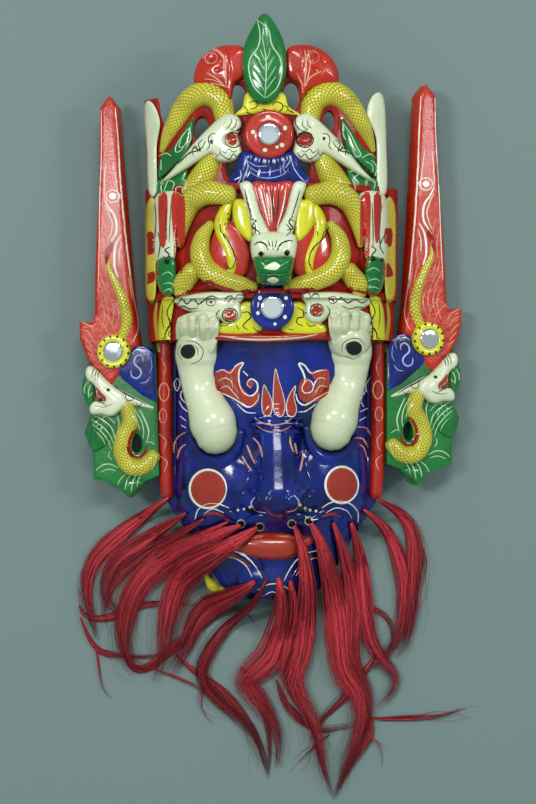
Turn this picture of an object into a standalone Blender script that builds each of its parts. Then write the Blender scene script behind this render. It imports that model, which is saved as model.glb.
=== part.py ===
"""Carved and painted wooden opera mask with an openwork dragon helmet, ear wings, mirrors and a beard.

The mask lies on its back: +X is the viewer's right, +Y runs up to the crown, +Z comes out of the face.
The carving is laid out on the carver's own grid, 500 divisions from the chin to the tip of the leaf.
"""
import math

import bpy
import bmesh
from mathutils import Matrix, Vector

# Driving sizes, in metres
MASK_HEIGHT = 0.494          # wood alone, chin to leaf tip
WALL = 0.013                 # wood left around the hollow
OPENWORK = 0.016             # thickness of the pierced crown
WING_THICK = 0.017           # thickness of an ear wing
WING_SWEEP_RIGHT = math.radians(18)   # how far each wing leans back from the face
WING_SWEEP_LEFT = math.radians(9)
WING_LEAN_LEFT = math.radians(1.6)    # the left wing leans out and sits lower than the right one
WING_DROP_LEFT = 0.011
CROWN_MIRROR = 0.0182        # mirror diameters
BROW_MIRROR = 0.0190
WING_MIRROR = 0.0166
MIRROR_THICK = 0.003
MIRROR_SEAT = 0.002          # depth of the seat that each mirror is let into
BOSS_RIM = 0.0045            # least width of the turned ring round a mirror
HAIR_WIDTH = 0.0100          # thickest part of a tuft of hair
CLEAR = 0.0003               # gap between touching pieces

# One division of the carver's grid
DIV = MASK_HEIGHT / 494

# The block, chin to crown: place up the mask, half width, height of the middle, height of the side,
# width of the ledge beside the face that the red columns stand on
BLOCK = (
    (-174, 15, 27, 18, 0), (-169, 34, 40, 19, 0), (-158, 48, 52, 21, 0), (-141, 58, 61, 24, 0),
    (-122, 68, 69, 28, 0), (-104, 79, 76, 30, 0), (-88, 89, 82, 32, 7), (-74, 97, 86, 34, 14),
    (-40, 99, 88, 34, 16), (0, 99, 92, 34, 16), (51, 99, 95, 34, 16), (52, 105, 103, 40, 0),
    (85, 106, 105, 42, 0), (86, 108, 112, 44, 0), (120, 108, 114, 46, 0), (181, 108, 112, 48, 0),
)
BLOCK_FULLNESS = 2.3         # how square the block is across
BLOCK_SHOULDER = 0.6
BLOCK_COLUMNS = 18
HOLLOW_ENDS = (BLOCK[0][0] + WALL / DIV, BLOCK[-1][0] - WALL / DIV)   # the hollow runs this far down and up
CROWN_CENTRE = 110           # height of the crown over the middle and over its feet
CROWN_FEET = 46
CROWN_HALF = 113
CROWN_AXIS = -3.5            # the crown, band and arms each have their own middle line
BAND_AXIS = -1
ARM_AXIS = 1.8
FACE_AXIS = 4.5
CROWN_BED = 8                # the pierced plate lies this far under the carving on it
HAIR_LIFT = 10               # hair lies this far over the block, clear of the lips and chin carved on it
HAIR_GAP = 1                 # and this far over the tufts laid before it
BOSS_DEPTH = 26              # how far a boss reaches down into the block
WING_ROOT = 99               # how far out a wing starts, and how high its front stands there
WING_REST = 47


def mix(a, b, t):
    """Value t of the way from a to b."""
    return a + (b - a) * t


def smooth_line(points, steps, closed=False):
    """Points of a smooth curve through the given points, with `steps` points a span."""
    n = len(points)
    spans = n if closed else n - 1
    result = []
    for i in range(spans):
        ids = [(i + j - 1) % n if closed else min(max(i + j - 1, 0), n - 1) for j in range(4)]
        p0, p1, p2, p3 = (Vector(points[j]) for j in ids)
        for s in range(steps):
            t = s / steps
            result.append(0.5 * (2 * p1 + (p2 - p0) * t + (2 * p0 - 5 * p1 + 4 * p2 - p3) * t * t
                                 + (3 * p1 - p0 - 3 * p2 + p3) * t ** 3))
    if not closed:
        result.append(Vector(points[-1]))
    return result


def mirrored(points, axis, lift=0):
    """The same grid points on the other side of a middle line, moved up by lift."""
    return [(2 * axis - p[0], p[1] + lift) + tuple(p[2:]) for p in reversed(points)]


def station(y):
    """Half width, middle height, side height and ledge width of the block at this place up the mask."""
    y = min(max(y, BLOCK[0][0]), BLOCK[-1][0])
    for low, high in zip(BLOCK, BLOCK[1:]):
        if y <= high[0]:
            t = (y - low[0]) / (high[0] - low[0])
            return [mix(a, b, t) for a, b in zip(low[1:], high[1:])]
    return list(BLOCK[-1][1:])


def across(u, middle, side):
    """Height of the block's front, u from -1 to 1 across the dome of the face."""
    return side + (middle - side) * max(0, 1 - abs(u) ** BLOCK_FULLNESS) ** BLOCK_SHOULDER


def face_front(x, y):
    """Height of the block's front over a grid point."""
    half, middle, side, ledge = station(y)
    return across(min(1, abs(x) / (half - ledge)), middle, side)


def crown_front(x, _y):
    """Height of the crown's front over a grid point."""
    return CROWN_FEET + (CROWN_CENTRE - CROWN_FEET) * math.sqrt(max(0, 1 - (x / CROWN_HALF) ** 2))


def wing_front(sweep):
    """Height of a wing's flat front over a grid point, for a wing that leans back by sweep."""
    def height(x, _y):
        return WING_REST - (abs(x) - WING_ROOT) * math.tan(sweep)
    return height


def lighten(obj, share):
    """Thin out the slivers that the joins leave, keeping this share of the faces."""
    modifier = obj.modifiers.new("thin out", "DECIMATE")
    modifier.ratio = share
    modifier.use_collapse_triangulate = True


def finish(obj, color, roughness, metallic=0.0):
    """Give an object its own plain material and smooth shading."""
    material = bpy.data.materials.new(obj.name)
    material.use_nodes = True
    shader = material.node_tree.nodes["Principled BSDF"]
    shader.inputs["Base Color"].default_value = (*color, 1)
    shader.inputs["Roughness"].default_value = roughness
    shader.inputs["Metallic"].default_value = metallic
    obj.data.materials.clear()
    obj.data.materials.append(material)
    obj.data.shade_smooth()
    obj.data.set_sharp_from_angle(angle=math.radians(35))


def add_object(name, bm, collection):
    """Turn a bmesh into a named object."""
    bmesh.ops.recalc_face_normals(bm, faces=bm.faces)
    mesh = bpy.data.meshes.new(name)
    bm.to_mesh(mesh)
    bm.free()
    obj = bpy.data.objects.new(name, mesh)
    collection.objects.link(obj)
    return obj


def as_mesh(curve_object, collection):
    """Replace a curve object by its mesh, with the caps welded on."""
    depsgraph = bpy.context.evaluated_depsgraph_get()
    mesh = bpy.data.meshes.new_from_object(curve_object.evaluated_get(depsgraph))
    bm = bmesh.new()
    bm.from_mesh(mesh)
    bmesh.ops.transform(bm, matrix=curve_object.matrix_world, verts=bm.verts)
    bmesh.ops.remove_doubles(bm, verts=bm.verts, dist=1e-6)
    name = curve_object.name
    bpy.data.objects.remove(curve_object)
    bpy.data.meshes.remove(mesh)
    return add_object(name, bm, collection)


def join(base, tools, operation="UNION"):
    """Join the tools to a solid, or cut them from it, and use them up."""
    group = bpy.data.collections.new("tools")
    for tool in tools:
        group.objects.link(tool)
    modifier = base.modifiers.new("join", "BOOLEAN")
    modifier.operation = operation
    modifier.operand_type = "COLLECTION"
    modifier.collection = group
    bpy.context.view_layer.update()
    depsgraph = bpy.context.evaluated_depsgraph_get()
    mesh = bpy.data.meshes.new_from_object(base.evaluated_get(depsgraph))
    base.modifiers.clear()
    old = base.data
    base.data = mesh
    bpy.data.meshes.remove(old)
    for tool in tools:
        bpy.data.objects.remove(tool)
    bpy.data.collections.remove(group)
    return base


def tube(name, points, surface, collection, steps=3, facets=2, bury=0.25):
    """A tapered round form on a surface, through (x, y, radius) grid points, sunk by part of its radius."""
    data = bpy.data.curves.new(name, "CURVE")
    data.dimensions = "3D"
    data.bevel_depth = DIV
    data.bevel_resolution = facets
    data.use_fill_caps = True
    line = smooth_line(points, steps)
    spline = data.splines.new("POLY")
    spline.points.add(len(line) - 1)
    for slot, (x, y, radius) in zip(spline.points, line):
        radius = max(radius, 0.6)
        height = surface(x, y) - bury * radius
        slot.co = (x * DIV, y * DIV, height * DIV, 1)
        slot.radius = radius
    obj = bpy.data.objects.new(name, data)
    collection.objects.link(obj)
    return as_mesh(obj, collection)


def mound(name, outline, surface, collection, edge=3, rise=4, sink=7, steps=2, inner=0.62):
    """Relief with this outline: walls `edge` high round it and a top that swells by `rise`."""
    line = smooth_line(outline, steps, closed=True)
    centre = sum(line, Vector((0, 0))) / len(line)
    bm = bmesh.new()
    rings = []
    for share, height in ((1.0, -sink), (1.0, edge), (inner, edge + 0.75 * rise)):
        ring = []
        for point in line:
            x, y = centre.lerp(point, share)
            ring.append(bm.verts.new((x * DIV, y * DIV, (surface(x, y) + height) * DIV)))
        rings.append(ring)
    top = bm.verts.new((centre.x * DIV, centre.y * DIV, (surface(*centre) + edge + rise) * DIV))
    bottom = bm.verts.new((centre.x * DIV, centre.y * DIV, (surface(*centre) - sink) * DIV))
    n = len(line)
    for i in range(n):
        j = (i + 1) % n
        bm.faces.new((bottom, rings[0][j], rings[0][i]))
        bm.faces.new((rings[0][i], rings[0][j], rings[1][j], rings[1][i]))
        bm.faces.new((rings[1][i], rings[1][j], rings[2][j], rings[2][i]))
        bm.faces.new((rings[2][i], rings[2][j], top))
    return add_object(name, bm, collection)


def ball(name, x, y, height, radii, collection, segments=12):
    """An ellipsoid centred over a grid point."""
    bm = bmesh.new()
    bmesh.ops.create_uvsphere(bm, u_segments=segments, v_segments=segments // 2, radius=1)
    bmesh.ops.scale(bm, vec=Vector(radii) * DIV, verts=bm.verts)
    bmesh.ops.translate(bm, vec=Vector((x, y, height)) * DIV, verts=bm.verts)
    return add_object(name, bm, collection)


def disc(name, radius, depth, place, collection, segments=20, bevel=0.0, tip=None):
    """A disc or frustum whose top face is centred on the origin of `place` and faces its +Z."""
    bm = bmesh.new()
    bmesh.ops.create_cone(bm, cap_ends=True, segments=segments, radius1=radius,
                          radius2=radius if tip is None else tip, depth=depth)
    bmesh.ops.translate(bm, vec=(0, 0, -depth / 2), verts=bm.verts)
    if bevel:
        rim = [e for e in bm.edges if all(v.co.z > -1e-6 for v in e.verts)]
        bmesh.ops.bevel(bm, geom=rim, offset=bevel, segments=1, affect="EDGES")
    bmesh.ops.transform(bm, matrix=place, verts=bm.verts)
    return add_object(name, bm, collection)


def prism(name, outline, low, high, collection, holes=()):
    """An upright flat-ended solid with this outline, pierced by the holes, between two grid heights."""
    data = bpy.data.curves.new(name, "CURVE")
    data.dimensions = "2D"
    data.fill_mode = "BOTH"
    data.extrude = (high - low) / 2 * DIV
    for loop in (outline, *holes):
        spline = data.splines.new("POLY")
        spline.points.add(len(loop) - 1)
        for slot, (x, y) in zip(spline.points, loop):
            slot.co = (x * DIV, y * DIV, 0, 1)
        spline.use_cyclic_u = True
    obj = bpy.data.objects.new(name, data)
    obj.location.z = (high + low) / 2 * DIV
    collection.objects.link(obj)
    bpy.context.view_layer.update()
    return as_mesh(obj, collection)


def oval(x, y, wide, tall, count=12):
    """Grid points round an ellipse."""
    return [(x + wide * math.cos(a), y + tall * math.sin(a))
            for a in (2 * math.pi * i / count for i in range(count))]


def block(name, ends, inset, base, collection):
    """The carved block, or with an inset the hollow that is gouged out of its back."""
    rows = [y for y, *_ in BLOCK if ends[0] < y < ends[1]]
    rows = [ends[0], *rows, ends[1]]
    bm = bmesh.new()
    grid = []
    for y in rows:
        half, middle, side, ledge = station(y)
        half, middle, side = half - inset, middle - inset, max(side - inset, 8)
        row = []
        for i in range(BLOCK_COLUMNS + 1):
            u = math.sin(math.pi * (min(max(i - 1, 0), BLOCK_COLUMNS - 2) / (BLOCK_COLUMNS - 2) - 0.5))
            x = u * half if i in (0, BLOCK_COLUMNS) else u * (half - ledge - 0.5)
            row.append(bm.verts.new((x * DIV, y * DIV, across(u, middle, side) * DIV)))
        grid.append(row)
    for low, high in zip(grid, grid[1:]):
        for i in range(BLOCK_COLUMNS):
            bm.faces.new((low[i], low[i + 1], high[i + 1], high[i]))
    rim = [e for e in bm.edges if e.is_boundary]
    walls = bmesh.ops.extrude_edge_only(bm, edges=rim)["geom"]
    feet = [v for v in walls if isinstance(v, bmesh.types.BMVert)]
    for vert in feet:
        vert.co.z = base * DIV
    bmesh.ops.contextual_create(bm, geom=[e for e in bm.edges if e.is_boundary])
    return add_object(name, bm, collection)


def crown_plate(collection):
    """The pierced plate that the crown is carved on: an arched shell cut to the crown's outline."""
    def arc(inset, count):
        wide = CROWN_HALF - inset
        tall = CROWN_CENTRE - CROWN_FEET - inset
        return [(wide * math.cos(a), CROWN_FEET + tall * math.sin(a))
                for a in (math.pi * i / count for i in range(count + 1))]
    outer = arc(CROWN_BED, 16)
    inner = arc(CROWN_BED + OPENWORK / DIV, 12)
    shell = prism("shell", outer + inner[::-1], -330, -172, collection)
    shell.data.transform(Matrix.Rotation(math.radians(90), 4, "X"))
    outline = [(-103, 174), (-107, 215), (-108, 257), (-96, 257), (-94, 244), (-90, 233), (-84, 244),
               (-76, 254), (-66, 263), (-61, 279), (-48, 293), (-36, 292), (-24, 288), (-16, 305), (-6, 315),
               (4, 304), (11, 288), (24, 292), (36, 291), (46, 285), (52, 276), (58, 262), (68, 252),
               (75, 242), (80, 234), (83, 246), (85, 259), (94, 258), (96, 215), (95, 174)]
    holes = [oval(-28.6, 253, 7.5, 12.5), oval(16.2, 254, 7, 13), oval(-58.5, 227, 6.5, 12),
             oval(47.7, 234, 5, 9.5), oval(-31, 194, 7, 9), oval(25.3, 194, 7, 8.5)]
    sheet = prism("crown_plate", outline, 0, 140, collection, holes)
    return join(sheet, [shell], "INTERSECT")


def both_sides(maker, name, outline, axis, surface, collection, lift=0, **sizes):
    """The same carving to the right and, mirrored, to the left of a middle line."""
    return [maker(name, outline, surface, collection, **sizes),
            maker(name, mirrored(outline, axis, lift), surface, collection, **sizes)]


def carve_crown(collection):
    """Leaf, lobes, gold arches, posts, dragon heads, skirt and leaves of the openwork crown."""
    front = crown_front
    low = lambda x, y: crown_front(x, y) - CROWN_BED
    leaf = [(-6, 321), (5, 309), (11.5, 291), (12, 270), (5, 252), (-6, 246), (-17, 252), (-23.5, 270),
            (-23.5, 291), (-16, 309)]
    lobe = [(13, 292), (26, 296), (38, 294), (49, 287), (55, 276), (55, 266), (43, 264), (31, 259),
            (25, 251), (22, 264), (13, 272)]
    arch = [(33.6, 240, 8), (35.5, 250, 8.5), (42, 256.5, 8.5), (51, 257.5, 8.5), (59.5, 253, 8),
            (66, 245.5, 7.5), (72, 236.5, 6.5), (78.5, 225, 5), (84, 212, 2.5)]
    head = [(20, 237), (30, 238), (40, 232.5), (50, 223), (54, 210), (43, 203), (32, 201), (22, 199.5),
            (17.5, 209), (17.5, 227)]
    horn = [(42, 217, 6.5), (62, 203, 4.5), (86, 185, 1)]
    body = [(42, 203, 6), (49, 189, 8.5), (58, 176, 8.5)]
    upper_leaf = [(58, 237), (67, 227), (76, 214), (87, 205), (88, 188), (75, 197), (62, 210)]
    lower_leaf = [(63, 194), (76, 190), (89, 186), (88, 172), (70, 171)]
    skirt = [(-24, 207), (-2, 204), (19, 207), (25, 194), (32, 180), (-2, 178), (-35, 180), (-29, 194)]
    plate = [(-19, 257), (8, 257), (14, 245), (23, 238), (-2, 240), (-29, 238), (-24, 245)]
    post = [(84, 262), (95, 261), (97, 214), (97, 178), (89, 178), (88, 220), (81, 242)]
    post_left = [(-108.5, 258), (-96, 260), (-94, 240), (-98, 214), (-97, 178), (-104, 178), (-106, 214)]
    parts = [mound("leaf", leaf, front, collection, edge=1, rise=6, sink=14),
             mound("skirt", skirt, front, collection, edge=0, rise=3, sink=14),
             mound("plate", plate, low, collection, edge=3, rise=1),
             mound("post", post, low, collection, edge=4, rise=1, steps=1),
             mound("post_left", post_left, low, collection, edge=4, rise=1, steps=1)]
    parts += both_sides(mound, "lobe", lobe, CROWN_AXIS - 1, low, collection, edge=5, rise=4)
    parts += both_sides(tube, "arch", arch, CROWN_AXIS, low, collection, steps=1, bury=-0.1)
    parts += both_sides(mound, "head", head, CROWN_AXIS, low, collection, edge=8, rise=6, steps=1)
    parts += both_sides(tube, "horn", horn, CROWN_AXIS, low, collection, steps=1, bury=-0.8)
    parts += both_sides(tube, "body", body, CROWN_AXIS, low, collection, steps=2, bury=-0.1)
    parts += both_sides(mound, "upper_leaf", upper_leaf, CROWN_AXIS, low, collection, edge=2, rise=2, steps=1)
    parts += both_sides(mound, "lower_leaf", lower_leaf, CROWN_AXIS, low, collection, edge=4, rise=2, steps=1)
    return parts


def carve_band(collection):
    """Centre dragon head, gold loops, flames, petals and the side dragon heads of the helmet band."""
    front = face_front
    face = [(-15, 137), (1.6, 140), (19, 137), (20, 122), (14, 115), (-11, 115), (-17, 122)]
    snout = [(-14, 121), (1.6, 122), (18, 121), (18, 104), (13, 95), (-10, 95), (-15, 104)]
    horn = [(25, 179, 5.5), (21, 160, 5), (15, 134, 4)]
    hair = [(-18, 178), (1.6, 179), (21, 178), (12, 158), (1.6, 137), (-9, 158)]
    petal = [(20, 163), (34, 166), (36, 150), (31, 139), (20, 133)]
    flame = [(44, 145, 4), (40, 134, 5), (33, 125, 4.5), (28.5, 115, 4.2), (30, 106, 3.8), (36, 108, 2.5)]
    coil = [(35, 171, 7), (52, 173, 8), (65, 166, 7.5), (71, 150, 5), (74, 131, 2)]
    loop = [(50, 148, 3.5), (59, 134, 5), (62, 120, 6.5), (56, 107, 8.5), (41, 98, 6.5), (24, 95, 4)]
    tail = [(64, 108, 7), (72, 98, 8), (73, 93, 6)]
    side_head = [(78, 172), (95, 173), (97, 140), (95, 119), (80, 119), (79, 140)]
    side_snout = [(79, 119), (94, 119), (95, 106), (90, 91), (80, 91)]
    side_edge = [(96, 166), (105, 166), (106, 128), (105, 91), (96, 91)]
    parts = [mound("face", face, front, collection, edge=8, rise=8),
             mound("snout", snout, front, collection, edge=22, rise=9, inner=0.75),
             mound("hair", hair, front, collection, edge=3, rise=4)]
    parts += both_sides(tube, "band_horn", horn, 1, front, collection, steps=1, bury=-0.4)
    parts += both_sides(mound, "petal", petal, 2, front, collection, edge=3, rise=3, steps=1)
    parts += both_sides(tube, "flame", flame, BAND_AXIS, front, collection, steps=1)
    parts += both_sides(tube, "coil", coil, BAND_AXIS, front, collection, steps=2, bury=0)
    parts += both_sides(tube, "loop", loop, BAND_AXIS, front, collection, steps=2, bury=0)
    parts += both_sides(tube, "tail", tail, BAND_AXIS, front, collection, steps=1, bury=0)
    parts += both_sides(mound, "side_head", side_head, -1, front, collection, edge=5, rise=4, steps=1)
    parts += both_sides(mound, "side_snout", side_snout, -1, front, collection, edge=9, rise=4, steps=1)
    parts += both_sides(mound, "side_edge", side_edge, -1, front, collection, edge=3, rise=1, steps=1)
    return parts


def carve_brow(collection):
    """Cream dragon heads that bite the blue boss, and the flame strips beside them."""
    front = face_front
    head = [(26, 87), (40, 84), (50, 90), (65, 91), (77, 85), (83, 76), (72, 68), (55, 67), (42, 65),
            (32, 72)]
    strip = [(82, 87), (92, 86), (96, 66), (95, 44), (86, 43), (85, 64)]
    parts = both_sides(mound, "brow_head", head, 1, front, collection, lift=0, edge=5, rise=5, steps=1)
    parts += both_sides(mound, "strip", strip, 0, front, collection, edge=4, rise=2, steps=1)
    return parts


def carve_face(collection):
    """Arms out of the eye sockets, nose, cheeks, lips and the red columns at the sides of the face."""
    front = face_front
    arm = [(64, 67, 12), (65.4, 54, 16), (65.4, 41, 16.5), (65, 26, 14), (62.5, 11, 13.5), (57.5, -3, 16),
           (52, -17, 19), (48, -28, 17.5), (46.5, -36, 10)]
    fingers = [[(54, 60, 4.5), (51.5, 74, 3)], [(61, 62, 5), (60, 78, 3.2)], [(68, 62, 5), (69, 78, 3.2)],
               [(75, 59, 4.5), (78, 73, 3)]]
    pouch = [(29, -22, 2.5), (33, -37, 4), (46, -47, 4.5), (61, -43, 4), (71, -30, 2.5)]
    column = [(91.5, 60, 6.5), (91.5, 10, 6.5), (91.5, -40, 6.5), (89.5, -78, 6)]
    scroll = [(34, -99, 4), (46, -93, 5.5), (60, -91, 6), (71, -98, 4.5), (74, -108, 2.5)]
    nose = [(FACE_AXIS, -14, 5), (FACE_AXIS, -30, 7), (FACE_AXIS + 0.5, -46, 9.5), (FACE_AXIS + 1, -61, 13),
            (FACE_AXIS + 1.5, -73, 14.5), (FACE_AXIS + 1.5, -81, 11)]
    lip = [(-34, -120, 2.5), (-18, -122, 8), (0, -123, 10), (16, -123, 8.5), (31, -121, 2.5)]
    brow = [(-14, -17, 2.5), (FACE_AXIS, -15, 4.5), (23, -17, 2.5)]

    def ridge(x, y):
        """The nose climbs steadily away from the face."""
        return front(x, y) + max(0, -y - 17) * 0.38

    parts = both_sides(tube, "arm", arm, ARM_AXIS, front, collection, lift=-3, steps=2, facets=3, bury=0.1)
    parts += both_sides(tube, "pouch", pouch, ARM_AXIS, front, collection, lift=-3, steps=1)
    parts += both_sides(tube, "column", column, 0, lambda x, y: 40, collection, steps=1)
    parts += both_sides(tube, "scroll", scroll, 4, front, collection, steps=1, bury=0.4)
    parts += [tube("nose", nose, ridge, collection, steps=2, facets=3, bury=0.35),
              tube("lip", lip, front, collection, steps=2, bury=0.2),
              ball("chin", 1, -151, front(0, -151) - 6, (31, 15, 13), collection),
              tube("brow", brow, front, collection, steps=1, bury=0.3),
              ball("cheek_right", 58, -69, front(58, -69) - 3, (24, 25, 12), collection),
              ball("cheek_left", -52, -72, front(52, -72) - 3, (24, 25, 12), collection)]
    for finger in fingers:
        parts += both_sides(tube, "finger", finger, ARM_AXIS, front, collection, lift=-3, steps=1, facets=1,
                            bury=-1.7)
    for side in (-1, 1):
        parts.append(ball("nostril", FACE_AXIS + 1.5 + side * 13.5, -79, 90, (8, 8, 12), collection, 10))
    return parts


def seat(x, y, top, tilt=None):
    """Placement matrix for a boss, its mirror and its seat: a grid point, a grid height and a tilt."""
    return Matrix.Translation(Vector((x, y, top)) * DIV) @ (tilt or Matrix.Identity(4))


def boss(diameter, ring, place, collection):
    """The turned ring round a mirror, its top face on the placement."""
    rim = max(ring * DIV, diameter / 2 + BOSS_RIM)
    return disc("boss", rim, BOSS_DEPTH * DIV, place, collection, bevel=min(3 * DIV, BOSS_RIM / 2))


def seat_cut(diameter, place, collection):
    """Cutter for the round seat of a mirror."""
    above = 0.01
    up = place @ Matrix.Translation((0, 0, above))
    return disc("seat_cut", diameter / 2 + CLEAR, above + MIRROR_SEAT, up, collection)


def mirror(name, diameter, place, collection):
    """A round glass in its seat, with a ground edge."""
    lift = place @ Matrix.Translation((0, 0, MIRROR_THICK - MIRROR_SEAT + CLEAR))
    obj = disc(name, diameter / 2, MIRROR_THICK, lift, collection, bevel=0.15 * MIRROR_THICK)
    finish(obj, (0.80, 0.86, 0.88), 0.08, 1.0)
    return obj


def make_mask_body(model, tools):
    """The one block of wood with face, helmet and crown, hollow at the back."""
    body = block("mask_body", (BLOCK[0][0], BLOCK[-1][0]), 0, 0, model)
    join(body, [crown_plate(tools)])
    crown_place = seat(-2, 221, 113)
    brow_place = seat(0.4, 77.8, 116)
    join(body, carve_crown(tools) + [boss(CROWN_MIRROR, 20.3, crown_place, tools)])
    join(body, carve_band(tools) + carve_brow(tools) + [boss(BROW_MIRROR, 18.2, brow_place, tools)])
    join(body, carve_face(tools))
    hollow = block("hollow", HOLLOW_ENDS, WALL / DIV, -5, tools)
    join(body, [hollow, seat_cut(CROWN_MIRROR, crown_place, tools),
                seat_cut(BROW_MIRROR, brow_place, tools)], "DIFFERENCE")
    lighten(body, 0.72)
    finish(body, (0.05, 0.06, 0.30), 0.3)
    mirror("mirror_crown", CROWN_MIRROR, crown_place, model)
    mirror("mirror_brow", BROW_MIRROR, brow_place, model)
    return body


def wing_outline():
    """Outline of the right ear wing, with its inner edge running in behind the mask's side."""
    blade = [(134, 274), (142, 264), (144.5, 199), (148, 155), (150.5, 116), (151.5, 88)]
    ear = [(154, 80), (165, 81), (165, 66), (159, 49), (158, 42), (164, 26), (162.5, 15), (156, 4),
           (163.5, -15), (156.5, -30), (156.5, -55), (145, -57), (133, -64), (125.5, -72), (118.5, -65),
           (113, -58), (90, -50), (90, 57), (114, 59)]
    inner = [(117, 80), (119, 110), (121.5, 150), (123.5, 190), (125.5, 225), (127, 264)]
    return blade + ear + inner


def make_wing(name, side, sweep, lean, drop, model, tools):
    """One ear wing: blade, boss with its mirror, dragon head and coiled body, pierced by one hole."""
    front = wing_front(sweep)
    thick = WING_THICK / DIV
    outline = wing_outline()
    slab = prism(name, outline, -thick, 0, tools, [oval(118.5, -25, 5, 8.5)])
    for vert in slab.data.vertices:
        x, y, depth = vert.co / DIV
        vert.co = Vector((x + depth * math.sin(sweep), y, front(x, y) + depth * math.cos(sweep))) * DIV
    flame = [(136, 145, 1.5), (138, 128, 3), (131.5, 112, 4.5), (125.5, 96, 5.5), (123.5, 79, 5.5),
             (128, 66, 5)]
    head = [(127, 13), (142, 28), (156, 42), (158.5, 33), (151, 22), (156, 10), (153, 2), (138, 0),
            (130, 5)]
    horn = [(137, 20, 5), (118, 11, 3.5), (103, 5, 1)]
    coil = [(128, 8, 6), (125, -6, 6), (132, -22, 6.2), (131, -39, 6.2), (118.5, -45, 6.5), (106, -35, 4.5)]
    frill = [(158, 40), (164, 27), (162, 14), (156, 8), (154, 24)]
    fin = [(153, -2), (162, -15), (155, -31), (142, -22), (142, -6)]
    tail = [(112, -58), (118.5, -65), (125.5, -71), (133, -63), (125, -54)]
    parts = [tube("wing_flame", flame, front, tools, steps=2, bury=0.35),
             mound("wing_head", head, front, tools, edge=5, rise=4, steps=1),
             tube("wing_horn", horn, front, tools, steps=1, bury=-0.2),
             tube("wing_coil", coil, front, tools, steps=2, bury=0.1),
             mound("frill", frill, front, tools, edge=1, rise=2, steps=1),
             mound("fin", fin, front, tools, edge=1, rise=3, steps=1),
             mound("tail", tail, front, tools, edge=1, rise=3, steps=1)]
    x, y = 135.8, 54.3
    place = seat(x, y, front(x, y) + 7, Matrix.Rotation(sweep, 4, "Y"))
    parts.append(boss(WING_MIRROR, 14.5, place, tools))
    join(slab, parts)
    join(slab, [seat_cut(WING_MIRROR, place, tools)], "DIFFERENCE")
    glass = mirror("mirror_" + name, WING_MIRROR, place, model)
    pivot = Vector((x, y, 0)) * DIV
    turn = Matrix.Translation(pivot) @ Matrix.Rotation(lean, 4, "Z") @ Matrix.Translation(-pivot)
    move = Matrix.Diagonal((side, 1, 1, 1)) @ Matrix.Translation((0, -drop, 0)) @ turn
    for obj in (slab, glass):
        obj.data.transform(move)
        if side < 0:
            obj.data.flip_normals()
    edge = [(half + CLEAR / DIV, y) for y, half, *_ in BLOCK if y > -110]
    keep_out = prism("keep_out", edge + mirrored(edge, 0), -5, 90, tools)
    join(slab, [keep_out], "DIFFERENCE")
    tools.objects.unlink(slab)
    model.objects.link(slab)
    lighten(slab, 0.72)
    finish(slab, (0.50, 0.06, 0.04), 0.3)
    return slab


# Tufts of the beard: name, height at the root over the wood, then the route over the grid
TUFTS = (
    ("left_outer", [(-88, -82), (-122, -108), (-152, -134), (-162, -158), (-160, -184), (-152, -211)]),
    ("left_cheek", [(-73, -95), (-108, -119), (-136, -138), (-146, -160), (-142, -178), (-128, -187)]),
    ("left_lip", [(-31, -103), (-72, -124), (-110, -152), (-127, -184), (-129, -215), (-117, -234), (-102, -228)]),
    ("left_inner", [(-12, -106), (-46, -128), (-74, -148), (-87, -172), (-93, -203), (-97, -232), (-104, -247)]),
    ("chin_left", [(-14, -152), (-32, -166), (-62, -186), (-76, -215), (-90, -240)]),
    ("chin_sweep", [(-4, -150), (-18, -176), (-46, -205), (-62, -236), (-50, -260), (-19, -287), (-3, -328)]),
    ("chin_middle", [(6, -149), (8, -180), (-2, -222), (-24, -244), (-14, -258), (4, -290), (4, -322)]),
    ("chin_right", [(16, -151), (19, -186), (12, -234), (24, -262), (33, -285)]),
    ("right_inner", [(19, -104), (26, -124), (31, -166), (27, -220), (20, -246), (40, -284), (44, -312),
                     (55, -346)]),
    ("right_lip", [(33, -102), (42, -120), (56, -179), (62, -235), (77, -258), (78, -283), (65, -318),
                   (58, -344)]),
    ("right_mid", [(52, -102), (64, -138), (71, -182), (71, -225), (86, -258), (83, -294)]),
    ("right_cheek", [(68, -103), (78, -140), (81, -179), (88, -212), (107, -238), (109, -248), (93, -270)]),
    ("right_outer", [(79, -92), (102, -114), (114, -146), (116, -170), (112, -202), (99, -223), (84, -236)]),
    ("right_edge", [(90, -83), (115, -100), (125, -124), (123, -170), (118, -210), (108, -226)]),
)


def hair_rests_on(x, y, reach, laid):
    """Height that a hair of this reach needs at a grid point to lie clear of the wood and of the hair laid."""
    need = reach
    for i in range(8):
        a = math.pi * i / 4
        for far in (0, reach + 1.5):
            px, py = x + far * math.cos(a), y + far * math.sin(a)
            half = station(py)[0]
            if BLOCK[0][0] - 1 < py < 181 and abs(px) < half + 1:
                need = max(need, face_front(px, py) + HAIR_LIFT + reach)
    for qx, qy, qz, q_reach in laid:
        room = 1.35 * (reach + q_reach) + 2
        flat = (qx - x) ** 2 + (qy - y) ** 2
        if flat < room ** 2:
            need = max(need, qz + math.sqrt(room ** 2 - flat))
    return need


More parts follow.
